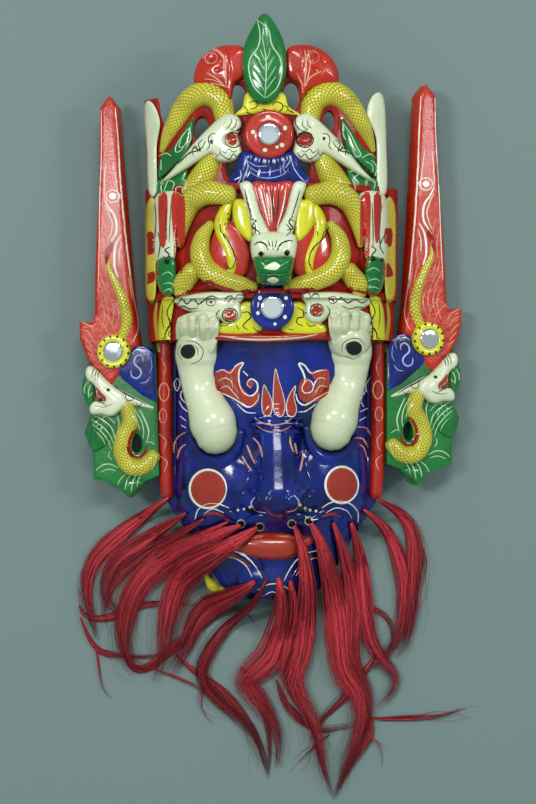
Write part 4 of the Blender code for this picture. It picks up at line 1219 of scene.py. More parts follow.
@dataclass
class Wing:
    """Ear wing: red blade with a gold flame, boss, cream dragon head, gold coil, green fins and one hole."""
    name: str
    side: int
    sweep: float
    lean: float = 0.0
    drop: float = 0.0
    thick: float = 17.0
    boss_at: tuple = (135.8, 54.3)
    boss_lift: float = 7.0
    blade: tuple = ((134, 274), (142, 264), (144.5, 199), (148, 155), (150.5, 116), (151.5, 88), (154, 80),
                    (165, 81), (165, 66), (159, 49), (153, 38), (139, 24), (126, 40), (118, 56), (114, 59),
                    (117, 80), (119, 110), (121.5, 150), (123.5, 190), (125.5, 225), (127, 264))
    ear: tuple = ((105.5, 55.5), (116, 58), (128, 47), (142, 34), (159, 45), (158, 42), (164, 26),
                  (162.5, 15), (156, 4), (163.5, -15), (156.5, -30), (156.5, -55), (145, -57), (133, -64),
                  (125.5, -72), (118.5, -65), (113, -58), (99.6, -53), (99.6, 0), (99.6, 50), (105.3, 52.5))
    blue: tuple = ((105.6, 57), (116, 59), (128, 48), (134, 37), (128, 30), (112, 16), (100, 9.5),
                   (100, 50))
    hole: tuple = (118.5, -25, 5, 8.5)
    flame: tuple = ((136, 145, 1.5), (138, 128, 3), (131.5, 112, 4.5), (125.5, 96, 5.5), (123.5, 79, 5.5),
                    (128, 66, 5))
    head: tuple = ((124, 10), (127, 18), (135, 24), (143, 31), (150, 39), (156, 42.5), (159.5, 39),
                   (159, 32), (152, 25), (150.5, 17), (145, 12.5), (153, 12), (157, 7), (155.5, 1),
                   (147, 0.5), (138, -1), (130, 4))
    horn: tuple = ((137, 20, 5), (118, 11, 3.5), (103, 5, 1))
    coil: tuple = ((126, 8, 6.5), (123, -6, 7), (129, -20, 7.5), (130.5, -33, 8), (124, -44, 8),
                   (113, -45, 7.5), (104, -37, 6))
    frill: tuple = ((158, 40), (164, 27), (162, 14), (156, 8), (152, 24))
    fin: tuple = ((153, -2), (162, -15), (155, -31), (142, -22), (142, -6))
    tail: tuple = ((112, -58), (118.5, -65), (125.5, -71), (133, -63), (125, -54))

    def place(self, points: np.ndarray) -> np.ndarray:
        """Put points given as x, y and height over the wing's face in place on the mask."""
        x = points[:, 0] + points[:, 2] * math.sin(self.sweep)
        z = wing_surface(self.sweep)(points[:, 0], points[:, 1]) + points[:, 2] * math.cos(self.sweep)
        dx, dy = x - self.boss_at[0], points[:, 1] - self.boss_at[1]
        turned_x = self.boss_at[0] + dx * math.cos(self.lean) - dy * math.sin(self.lean)
        turned_y = self.boss_at[1] + dx * math.sin(self.lean) + dy * math.cos(self.lean)
        return np.column_stack([self.side * turned_x, turned_y - self.drop, z])

    def pixel_on(self, other: "Wing", px: float, py: float, height: float = 3.0) -> tuple[float, float]:
        """The pixel that shows on another wing what this pixel shows on this one."""
        corners = self.place(np.array([[0, 0, height], [1, 0, height], [0, 1, height]]))
        start, along, up = (Vector(corner) for corner in corners)
        along, up = along - start, up - start
        across = along.cross(up)
        ray = EYE.ray(px, py)
        spot = Vector(EYE.at) + ray * ((start - Vector(EYE.at)).dot(across) / ray.dot(across)) - start
        return EYE.pixel(other.place(np.array([[spot.dot(along) / along.length_squared,
                                                spot.dot(up) / up.length_squared, height]]))[0])

    def put(self, forms: Sequence[Form]) -> list[Form]:
        """Forms carved on the flat board, moved to the wing's place."""
        return [form.moved(self.place, self.side < 0) for form in forms]

    def build(self, shop: Shop) -> None:
        """Make the wing."""
        hole = oval(*self.hole)
        shop.add(self.name + "_blade",
                 self.put([relief(self.blade, flat_board, edge=0, rise=1.2, sink=self.thick, spacing=2,
                                  swell=4, soften=1.2, sharp=True)]),
                 BLADE_RED, Slot.WING, [self.name])
        shop.add(self.name + "_ear",
                 self.put([relief(self.ear, flat_board, edge=-0.4, rise=0, sink=self.thick - 0.4,
                                  holes=[hole], spacing=1.8, sharp=True)]),
                 GREEN, Slot.WING)
        shop.add(self.name + "_blue_ground",
                 self.put([relief(self.blue, flat_board, edge=0.9, rise=0.4, sink=4, sharp=True)]),
                 BLUE, Slot.WING)
        body = swept(self.coil, flat_board, bury=0.1, sides=22)
        flame = swept(self.flame, flat_board, bury=0.35, sides=20)
        shop.add(self.name + "_gold_coil", self.put([body, flame]), SCALES, Slot.WING)
        cuts = [(((154, 40), (152, 36), (153, 32)), 0.9, 0.8), (((150, 38), (148.5, 34)), 0.8, 0.6)]
        head = relief(self.head, flat_board, edge=5, rise=4, sink=5, spacing=1.2, grooves=cuts,
                      dents=[(141, 22, 2, 1.6, 0.8)])
        shop.add(self.name + "_dragon_head",
                 self.put([head, swept(self.horn, flat_board, bury=-0.2, sides=16)]),
                 CREAM, Slot.WING)
        ribs = [(((146, -6), (152, -14), (154, -26)), 1.0, 0.9),
                (((149, -4), (157, -13), (158, -18)), 1.0, 0.8)]
        fins = [relief(self.frill, flat_board, edge=1, rise=2, sink=5),
                relief(self.fin, flat_board, edge=1, rise=3, sink=5, grooves=ribs),
                relief(self.tail, flat_board, edge=1, rise=3, sink=5)]
        shop.add(self.name + "_fins", self.put(fins), GREEN, Slot.WING)
        boss = Boss(self.name, 14.5, 16.6, LEMON, Slot.WING, 12.0)
        lift = self.boss_lift * math.cos(self.sweep)
        at = np.array([self.boss_at[0] - lift * math.sin(self.sweep), self.boss_at[1], lift])
        lean_back = np.array([math.cos(self.sweep), 1, 1])

        def boss_place(points: np.ndarray) -> np.ndarray:
            """Stand the boss square to the board."""
            return self.place(points * lean_back + at)

        boss.build(shop, boss_place, self.side < 0)


# Paint laid over the carving

@dataclass
class Eye:
    """The photograph's view of the mask, which places brush lines by its pixels."""
    at: tuple = (-3.0, 0.0, 1800.0)          # on the carver's grid
    middle: tuple = (268.0, 402.0)           # pixel in the middle of the picture
    height: int = 804
    focal: float = 1740 / 0.85               # in pixels
    sensor_mm: float = 36.0

    def ray(self, px: float, py: float) -> Vector:
        """Direction of the ray through a pixel."""
        across, up = (px - self.middle[0]) / self.focal, (self.middle[1] - py) / self.focal
        return Vector((across, up, -1)).normalized()

    def pixel(self, place: Point) -> tuple[float, float]:
        """The pixel that shows a place on the grid."""
        far = (self.at[2] - place[2]) / self.focal
        return self.middle[0] + (place[0] - self.at[0]) / far, self.middle[1] - (place[1] - self.at[1]) / far

    def grid(self, px: float, py: float, z: float) -> tuple[float, float]:
        """Grid point that a pixel shows at a height over the floor."""
        far = self.pixels_at(z)
        return self.at[0] + (px - self.middle[0]) * far, self.at[1] + (self.middle[1] - py) * far

    def pixels_at(self, z: float) -> float:
        """Millimetres that a pixel covers at a height over the floor."""
        return (self.at[2] - z) / self.focal

    def lens(self) -> float:
        """Focal length of the camera in millimetres."""
        return self.focal * self.sensor_mm / self.height


EYE = Eye()


class Painter:
    """Lays brush lines and areas of paint on the carving, each thin but of real thickness."""

    def __init__(self, shop: Shop) -> None:
        """Gather the carving that paint can land on."""
        self.shop = shop
        points, faces, first = [], [], 0
        for form in shop.carved:
            points.append(form.points)
            faces += [tuple(first + i for i in face) for face in form.faces]
            first += len(form.points)
        self.wood = BVHTree.FromPolygons([Vector(p) for p in np.concatenate(points)], faces)

    def hit(self, px: float, py: float) -> Optional[tuple[Vector, Vector]]:
        """Where the ray through a pixel meets the carving, and which way the wood faces there."""
        place, normal, _, _ = self.wood.ray_cast(Vector(EYE.at), EYE.ray(px, py))
        if place is None:
            return None
        return place, normal if normal.z > 0 else -normal

    def line(self, route: Sequence[Point], width: float = 1.5, lift: float = 0.3,
             blunt: float = 0.35) -> list[Form]:
        """A brush line.

        Args:
            route: pixels that it runs through.
            width: its full width in pixels.
            lift: thickness of the paint along its middle.
            blunt: share of the full width at its ends.

        Returns:
            Closed forms, one for each stretch without a step in the wood.
        """
        path = smooth(route, 0.9)[:, :2]
        way = np.gradient(path, axis=0)
        way /= np.maximum(np.hypot(*way.T), TINY)[:, None]
        count = len(path)
        runs, run = [], []
        for i, ((x, y), (dx, dy)) in enumerate(zip(path, way)):
            share = min(max(i / max(count - 1, 1), 0.02), 0.98)
            swell = blunt + (1 - blunt) * math.sin(math.pi * share) ** 0.5
            half = width / 2 * swell
            middle = self.hit(x, y)
            if middle is None:
                runs.append(run)
                run = []
                continue
            place, normal = middle
            sides = []
            for sign in (-1, 1):
                off = Vector((-dy * sign, -dx * sign, 0)) * half * EYE.pixels_at(place.z)
                off.z = max(min(-(normal.x * off.x + normal.y * off.y) / max(normal.z, 0.25), 3), -3)
                sides.append(place + off - normal * 0.12)
            if run and abs(run[-1][1].z - place.z) > 5:
                runs.append(run)
                run = []
            run.append((sides[0], place + normal * lift, sides[1]))
        runs.append(run)
        forms = []
        for run in runs:
            if len(run) < 2:
                continue
            points = np.array([tuple(p) for row in run for p in row])
            faces = [(0, 1, 2)]
            for i in range(len(run) - 1):
                a, b = 3 * i, 3 * i + 3
                for j in range(3):
                    k = (j + 1) % 3
                    faces.append((a + j, b + j, b + k, a + k))
            last = 3 * (len(run) - 1)
            faces.append((last + 2, last + 1, last))
            forms.append(Form(points, faces))
        return forms

    def area(self, outline: Sequence[Point], lift: float = 0.18, spacing: float = 1.6,
             sharp: bool = False) -> list[Form]:
        """An area of paint.

        Args:
            outline: pixels round it, joined by a smooth curve.
            lift: thickness of the paint.
            spacing: distance between points of its mesh, in pixels.
            sharp: keep straight lines between the pixels.

        Returns:
            One closed form.
        """
        rim = np.array(outline, float) if sharp else smooth(outline, spacing, True)[:, :2]
        where, faces, _ = triangles(rim, [], spacing)
        top, low = [], []
        for x, y in where:
            found = self.hit(x, y)
            if found is None:
                top.append(None)
                low.append(None)
                continue
            top.append(found[0] + found[1] * lift)
            low.append(found[0] - found[1] * 0.3)
        keep = [f for f in faces if all(top[i] is not None for i in f)
                and max(top[i].z for i in f) - min(top[i].z for i in f) < 5]
        if not keep:
            return []
        used = sorted({i for f in keep for i in f})
        index = {old: new for new, old in enumerate(used)}
        total = len(used)
        points = np.array([tuple(top[i]) for i in used] + [tuple(low[i]) for i in used])
        faces = [tuple(index[i] for i in f[::-1]) for f in keep]
        solid = list(faces) + [tuple(total + i for i in f[::-1]) for f in faces]
        edges = {(a, b) for f in faces for a, b in zip(f, f[1:] + f[:1])}
        solid += [(a, total + a, total + b, b) for a, b in edges if (b, a) not in edges]
        return [Form(points, solid)]


# Paint, part by part, by the pixels of the photograph

@dataclass
class PaintJob:
    """Brush lines, areas and dots in one colour on one part of the mask, placed by the photo's pixels."""
    name: str
    finish: Finish
    lines: tuple = ()            # (width, route) of each line
    areas: tuple = ()            # outline of each area
    dots: tuple = ()             # (x, y, half width, half height) of each dot
    slot: Slot = Slot.BODY
    lift: float = 0.3            # thickness of the paint in millimetres

    def carried(self, change: Callable[[float, float], tuple[float, float]], ending: str) -> "PaintJob":
        """The same paint at other pixels."""
        return replace(self, name=self.name + ending,
                       lines=tuple((width, [change(*p) for p in route]) for width, route in self.lines),
                       areas=tuple([change(*p) for p in outline] for outline in self.areas),
                       dots=tuple((*change(x, y), wide, tall) for x, y, wide, tall in self.dots))

    def build(self, shop: Shop, painter: Painter) -> None:
        """Lay the paint."""
        forms = []
        for width, route in self.lines:
            forms += painter.line(route, width * BRUSH, self.lift)
        for outline in self.areas:
            forms += painter.area(outline, self.lift * 0.6)
        for x, y, wide, tall in self.dots:
            forms += painter.area(oval(x, y, wide, tall, 10), self.lift, spacing=1.0)
        shop.add("paint_" + self.name, forms, self.finish, self.slot, carved=False)


def ring(x: float, y: float, wide: float, tall: float) -> list[tuple]:
    """Closed route round an ellipse of pixels."""
    round_ = oval(x, y, wide, tall, 18)
    return round_ + round_[:2]


def opposite(routes: Sequence[tuple], axis: float, drop: float = 0) -> tuple:
    """The same lines on the other side of an upright line of pixels."""
    return tuple((width, [(2 * axis - x, y + drop) for x, y in route]) for width, route in routes)


HEAD_AXIS = 269.2                # pixel column between the two crown heads
BRUSH = 1.3                      # width of the brush against the widths of the lines below

CROWN_HEAD_LINES = (
    (1.1, [(322, 134), (327, 134), (330, 139), (329, 146), (332, 150)]),
    (1.5, [(333, 141), (336, 147), (342, 151), (349, 153), (357, 160), (366, 168), (375, 177)]),
    (1.3, [(335, 139), (340, 144), (338, 151), (344, 148), (349, 155)]),
    (1.2, [(340, 152), (343, 146), (346, 150), (345, 156)]),
    (1.1, [(297, 116), (295, 122), (298, 128), (303, 131), (308, 129)]),
    (0.9, [(302, 119), (303, 126), (308, 130)]),
    (0.9, [(307, 119), (308, 125), (312, 129)]),
    (1.5, ring(305, 140, 8.4, 7.4)),
    (1.1, [(297, 152), (301, 157), (305, 154), (309, 159), (314, 157), (318, 153), (318, 148)]),
    (1.0, [(301, 150), (305, 152), (310, 149), (313, 153), (317, 150)]),
    (0.9, [(318, 152), (321, 156), (323, 153)]))

CROWN_PAINT = (
    PaintJob("leaf_veins", GREEN_LINE, ((1.4, [(257, 20), (268, 29), (272, 45), (280, 58), (282, 72),
        (277, 88), (266, 98)]), (1.4, [(257, 20), (260, 34), (258, 47), (250, 59), (249, 72), (254, 87),
        (265, 98)]), (1.2, [(265, 97), (266, 78), (266, 60), (264, 46), (262, 36)]),
        (0.9, [(264, 90), (260, 84), (255, 78)]), (0.9, [(265, 81), (260, 74), (255, 69)]),
        (0.9, [(265, 71), (261, 64), (258, 58)]), (0.9, [(265, 61), (262, 54), (260, 49)]),
        (0.9, [(266, 90), (271, 83), (276, 76)]), (0.9, [(267, 81), (272, 73), (276, 66)]),
        (0.9, [(267, 71), (271, 62), (273, 57)]), (0.9, [(266, 61), (269, 54), (270, 48)]))),
    PaintJob("lobe_scrolls", ROSE_LINE, ((1.7, [(305, 50), (306, 66), (304, 86)]),
        (1.5, [(308, 49), (310, 66), (306, 86)]), (1.5, [(304, 87), (311, 77), (322, 71)]),
        (1.2, [(297, 73), (300, 80), (303, 86)]), (0.9, ring(313, 57, 6, 6)),
        (1.0, [(321, 75), (327, 69), (333, 72)]), (1.7, [(212, 50), (221, 53), (225, 66), (226, 86)]),
        (1.4, [(216, 50), (223, 58), (223, 70)]), (1.5, [(225, 87), (217, 79), (207, 73)]),
        (1.2, [(222, 84), (213, 80), (204, 79)]), (1.1, ring(211, 58, 6, 5.5)),
        (1.4, [(203, 58), (205, 52), (212, 49), (219, 50)]), (1.0, [(229, 88), (220, 85), (210, 83)]))),
    PaintJob("crown_head_lines", BLACK_LINE, CROWN_HEAD_LINES + opposite(CROWN_HEAD_LINES, HEAD_AXIS),
        dots=((324, 138.5, 1.7, 1.9), (211.5, 142, 1.9, 2.1))),
    PaintJob("crown_head_mouths", RED_SPOT, areas=(oval(305, 140, 7.6, 6.4), oval(234, 139, 7.6, 6.6)),
        lift=0.2),
    PaintJob("yellow_plate_squiggles", BLACK_LINE, ((1.2, [(249, 103), (254, 101), (258, 104), (255, 108),
        (250, 109)]), (1.1, [(244, 106), (248, 111)]), (1.3, [(246, 112), (251, 114)]),
        (1.0, [(262, 109), (267, 110)]), (1.2, [(272, 106), (276, 102), (282, 104), (282, 109), (277, 112),
        (274, 108)]), (1.0, [(283, 105), (288, 108), (286, 112)]), (1.2, [(288, 110), (294, 113)]),
        (1.0, [(257, 112), (262, 113)]))),
    PaintJob("boss_dots_ivory", CREAM, dots=((268, 117, 2.5, 2), (285, 128, 2, 2.4), (282, 145, 2.4, 2.2),
        (277, 147, 1.7, 1.7), (265, 150, 2.3, 2), (253, 132, 2.2, 2.2))),
    PaintJob("skirt_folds", BLUE_LINE, ((1.3, [(245, 156), (248, 166), (244, 177), (243, 184)]),
        (1.0, [(248, 161), (256, 166), (268, 166)]), (1.0, [(250, 172), (259, 177), (271, 178), (282, 175),
        (288, 170)]), (1.2, [(285, 168), (290, 161), (289, 155)]), (1.3, [(291, 157), (294, 168),
        (301, 178), (307, 183)]), (1.0, [(249, 166), (258, 172), (270, 172), (280, 169)]),
        (1.0, [(286, 160), (283, 167), (286, 174)]), (1.2, [(238, 184), (241, 176), (240, 170)]))),
    PaintJob("side_leaf_scrolls", GREEN_LINE, ((1.2, [(342, 122), (350, 133), (357, 147), (361, 155),
        (356, 156), (352, 148)]), (1.1, [(343, 124), (343, 134), (346, 140)]),
        (1.0, [(348, 138), (351, 146), (357, 150)]), (1.1, [(362, 158), (370, 154), (376, 158)]),
        (1.0, [(371, 160), (377, 167), (375, 176)]), (1.0, [(365, 161), (372, 165), (373, 172)]),
        (1.2, [(190, 127), (183, 135), (176, 146), (176, 152), (181, 150), (187, 141)]),
        (1.1, [(189, 128), (191, 138), (187, 147)]), (1.0, [(181, 140), (179, 147), (184, 146)]),
        (1.2, [(159, 156), (166, 153), (171, 156)]), (1.0, [(161, 160), (161, 170)]),
        (1.1, [(357, 186), (354, 179), (360, 174), (366, 177), (365, 184)]),
        (1.0, [(349, 172), (356, 170)]), (1.1, [(366, 186), (369, 179), (375, 182), (374, 189)]),
        (1.0, [(352, 178), (356, 190)]), (1.1, [(162, 195), (161, 186), (164, 183)]),
        (1.1, [(164, 191), (168, 181), (174, 183), (172, 190)]), (1.1, [(176, 195), (176, 188), (182, 187),
        (182, 192)]), (1.0, [(181, 178), (186, 182), (184, 190)]))),
)

BAND_PAINT = (
    PaintJob("band_horn_script", BLACK_LINE, ((1.3, [(245, 188), (247, 201), (250, 212), (251, 220)]),
        (1.5, [(251, 219), (256, 221), (252, 226), (257, 230)]), (1.3, [(252, 228), (258, 231),
        (260, 235)]), (1.2, [(256, 224), (255, 234)]), (1.3, [(300, 190), (296, 204), (292, 216)]),
        (1.5, [(293, 216), (289, 222), (293, 228), (287, 230)]), (1.2, [(286, 224), (291, 230),
        (286, 236)]), (1.1, [(290, 219), (295, 222)]), (1.7, [(254, 245), (259, 242), (265, 244),
        (268, 250)]), (1.7, [(277, 251), (281, 244), (287, 241), (293, 241)]),
        (1.0, [(268, 240), (270, 246)]), (1.0, [(272, 240), (273, 250)]), (1.0, [(277, 240), (275, 248)]),
        (0.9, [(256, 257), (261, 260), (267, 258)]), (0.9, [(282, 256), (287, 258), (292, 255)])),
        dots=((261, 254, 2.5, 2.8), (287, 252.5, 2.5, 2.6))),
    PaintJob("band_mane_lines", WHITE_LINE, ((1.4, [(259, 187), (264, 206), (269, 226)]),
        (1.3, [(286, 188), (283, 206), (277, 228)]), (1.0, [(268, 187), (271, 204), (272, 222)]),
        (0.9, [(263, 188), (267, 206), (270, 222)]))),
    PaintJob("band_mane_shades", BLACK_LINE, ((1.5, [(272, 190), (273, 206), (274, 222)]),
        (1.5, [(279, 189), (278, 206), (276, 222)]), (0.8, [(290, 189), (286, 204), (281, 222)]))),
    PaintJob("band_snout_glints", CREAM, areas=([(264, 268), (270, 264), (275, 262), (280, 266),
        (275, 270)], [(267, 280), (273, 277), (279, 280), (273, 283)])),
    PaintJob("band_snout_lips", BLACK_LINE, ((1.0, [(257, 274), (264, 276), (274, 276), (284, 276),
        (291, 274)]),)),
    PaintJob("flame_lines", BLACK_LINE, ((1.3, [(219, 218), (221, 231), (227, 240), (233, 250), (235, 260),
        (232, 268), (226, 267), (224, 263)]), (1.0, [(222, 233), (228, 238), (230, 246)]),
        (0.9, [(226, 263), (230, 270)]), (1.3, [(325, 227), (327, 233), (321, 241), (314, 247), (310, 255),
        (309, 263), (313, 271)]), (1.1, [(322, 240), (324, 232), (329, 228), (325, 224)]),
        (0.9, [(317, 230), (318, 236)])), dots=((228, 214, 0.8, 0.8), (228, 219, 0.9, 0.9),
        (225, 224, 0.8, 0.8), (225, 229, 0.8, 0.8), (316, 224, 0.8, 0.8), (317, 228, 0.8, 0.8),
        (310, 265, 0.8, 0.8))),
    PaintJob("side_head_stripes", RED, areas=([(159, 196), (167, 195), (167, 225), (165, 246), (161, 246),
        (159, 228)], [(172, 195), (184, 196), (185, 235), (183, 270), (176, 270), (173, 235)], [(361, 196),
        (370, 195), (370, 232), (368, 264), (361, 262)], [(374, 195), (381, 196), (380, 228), (378, 242),
        (375, 238)]), lift=0.35),
    PaintJob("side_head_script", BLACK_LINE, ((1.1, [(167, 203), (166, 222), (167, 240)]),
        (1.1, [(171, 204), (170, 222), (169, 242)]), (1.5, [(170, 247), (165, 250), (169, 255),
        (164, 263)]), (1.4, [(158, 232), (160, 245), (158, 258)]), (1.1, [(155, 204), (156, 220),
        (155, 238)]), (1.2, [(163, 256), (168, 262), (171, 258)]), (1.1, [(372, 203), (373, 225),
        (373, 246)]), (1.1, [(382, 205), (379, 226), (380, 246)]), (1.4, [(371, 246), (376, 250),
        (372, 255), (376, 260)]), (1.3, [(384, 236), (380, 246), (384, 254)])),
        dots=((167, 262, 2.2, 2.4), (373, 259, 2.0, 2.3), (382, 260, 1.7, 2.1)), lift=0.5),
    # pale green strokes painted as highlights on the side snouts
    PaintJob("side_snout_glints", GREEN_LINE, ((1.1, [(162, 275), (168, 272), (173, 276)]),
        (1.0, [(163, 284), (170, 283), (174, 286)]), (1.1, [(163, 292), (169, 289), (173, 292)]),
        (1.0, [(367, 271), (374, 268), (380, 271)]), (1.0, [(368, 281), (375, 279), (380, 281)]),
        (1.0, [(368, 288), (374, 287), (379, 289)]))),
    # notches in the band's edges, in the red that is darkened as painted shade
    PaintJob("edge_notches", SHADED_RED, areas=([(145, 235), (153, 233), (154, 252), (145, 253)], [(145, 275),
        (158, 271), (156, 280), (146, 284)], [(385, 229), (392, 230), (391, 246), (385, 244)], [(383, 262),
        (389, 264), (393, 275), (384, 276)])),
    PaintJob("band_foot_line", RED, ((3.6, [(176, 297), (186, 293), (200, 285), (209, 282), (218, 287),
        (238, 292), (262, 291), (290, 291), (318, 290), (342, 288), (362, 292), (382, 297)]),), lift=1.0),
)

BROW_PAINT = (
    PaintJob("brow_boss_dots", CREAM, dots=((260, 298, 2.1, 2.1), (286, 298, 1.9, 1.9),
        (258, 313, 1.9, 1.9), (285, 317, 1.9, 2.1), (275, 324, 1.6, 1.6))),
    PaintJob("brow_head_lines", BLACK_LINE, ((1.4, [(172, 300), (177, 304), (182, 299), (187, 304),
        (193, 299), (199, 304), (205, 300)]), (1.2, [(176, 309), (183, 306), (190, 309), (198, 308)]),
        (1.0, ring(211, 302, 4.6, 3.8)), (1.2, [(197, 306), (203, 301), (211, 296), (219, 299)]),
        (1.1, [(220, 310), (216, 315), (219, 321)]), (1.2, [(224, 302), (227, 297), (232, 296), (231, 300),
        (227, 302)]), (1.2, [(234, 300), (238, 295), (244, 296), (243, 301), (239, 302)]),
        (1.0, [(218, 325), (225, 326), (231, 323)]), (1.4, [(328, 297), (335, 302), (341, 298), (348, 303),
        (355, 299), (362, 303), (368, 300)]), (1.2, [(342, 306), (350, 309), (357, 307), (364, 308)]),
        (1.0, ring(333, 300, 4, 3.4)), (1.2, [(303, 299), (304, 294), (309, 293), (310, 298), (306, 300)]),
        (1.2, [(311, 298), (314, 294), (318, 294), (319, 298)]), (1.1, [(327, 306), (330, 312),
        (327, 319)]), (1.4, ring(230, 315, 7.6, 6.6)), (1.3, ring(317, 310, 6.8, 6.2))),
        dots=((211, 302, 1.5, 1.5), (333, 300, 1.4, 1.4))),
    PaintJob("brow_head_mouths", RED_SPOT, areas=(oval(230, 315, 6.6, 5.6), oval(317, 310, 6, 5.4)),
        lift=0.2),
    PaintJob("yellow_ground_script", BLACK_LINE, ((1.4, [(298, 308), (303, 311), (303, 317), (298, 318),
        (297, 323), (303, 326)]), (1.1, [(306, 322), (310, 326), (316, 325)]),
        (1.0, [(320, 326), (325, 323)]), (1.4, [(242, 313), (248, 312), (251, 317), (247, 321), (243, 326),
        (248, 330)]), (1.1, [(236, 325), (239, 330)]), (1.0, [(253, 327), (257, 331), (262, 331)]),
        (0.9, [(288, 329), (294, 330)])), dots=((306, 313, 0.9, 0.9), (254, 320, 0.9, 0.9))),
    PaintJob("flame_strip_lines", BLACK_LINE, ((1.5, [(172, 302), (167, 312), (170, 323), (165, 335),
        (168, 347)]), (1.1, [(163, 305), (162, 318), (164, 330)]), (0.9, ring(163, 341, 1.6, 3)),
        (0.8, ring(170, 334, 1.5, 2.6)), (1.5, [(370, 300), (375, 312), (371, 323), (377, 335),
        (374, 347)]), (1.1, [(379, 303), (380, 318), (378, 330)]), (0.9, ring(379, 341, 1.6, 3)),
        (0.8, ring(371, 334, 1.5, 2.6)))),
    PaintJob("helmet_rim_line", CREAM, ((1.8, [(222, 336), (240, 339), (262, 340), (284, 339), (305, 337),
        (318, 334)]),), lift=0.6),
    PaintJob("helmet_outer_edges", GOLD, ((3.2, [(157, 300), (155, 318), (157, 338), (159, 352)]),
        (3.2, [(387, 299), (389, 318), (387, 338), (385, 352)])), lift=0.9),
)

DROPS = (
    [(264, 385), (268, 392), (272, 402), (271, 413), (266, 416), (262.5, 411), (262, 399)],
    [(275.5, 369), (279, 381), (283.5, 396), (285, 408), (282, 416), (276.5, 415), (273.5, 407),
     (273.5, 388)],
    [(295.5, 386), (294, 397), (296.5, 409), (294, 416), (288, 415), (286.5, 406), (289, 396)])
FLAMES = (
    [(216, 372), (230, 370), (237, 365), (243, 364), (238.5, 372), (240, 383), (246, 392), (253, 396),
     (258.5, 391),
     (259, 400), (254, 407), (245, 404), (231, 397), (217, 390)],
    [(303, 365), (309, 370), (317, 372), (328, 370), (329, 390), (323, 398), (308, 403), (300, 398),
     (298.5, 389),
     (301, 381), (307, 378), (311, 382), (311, 389), (306, 392), (313, 391), (316, 383), (311, 374)])

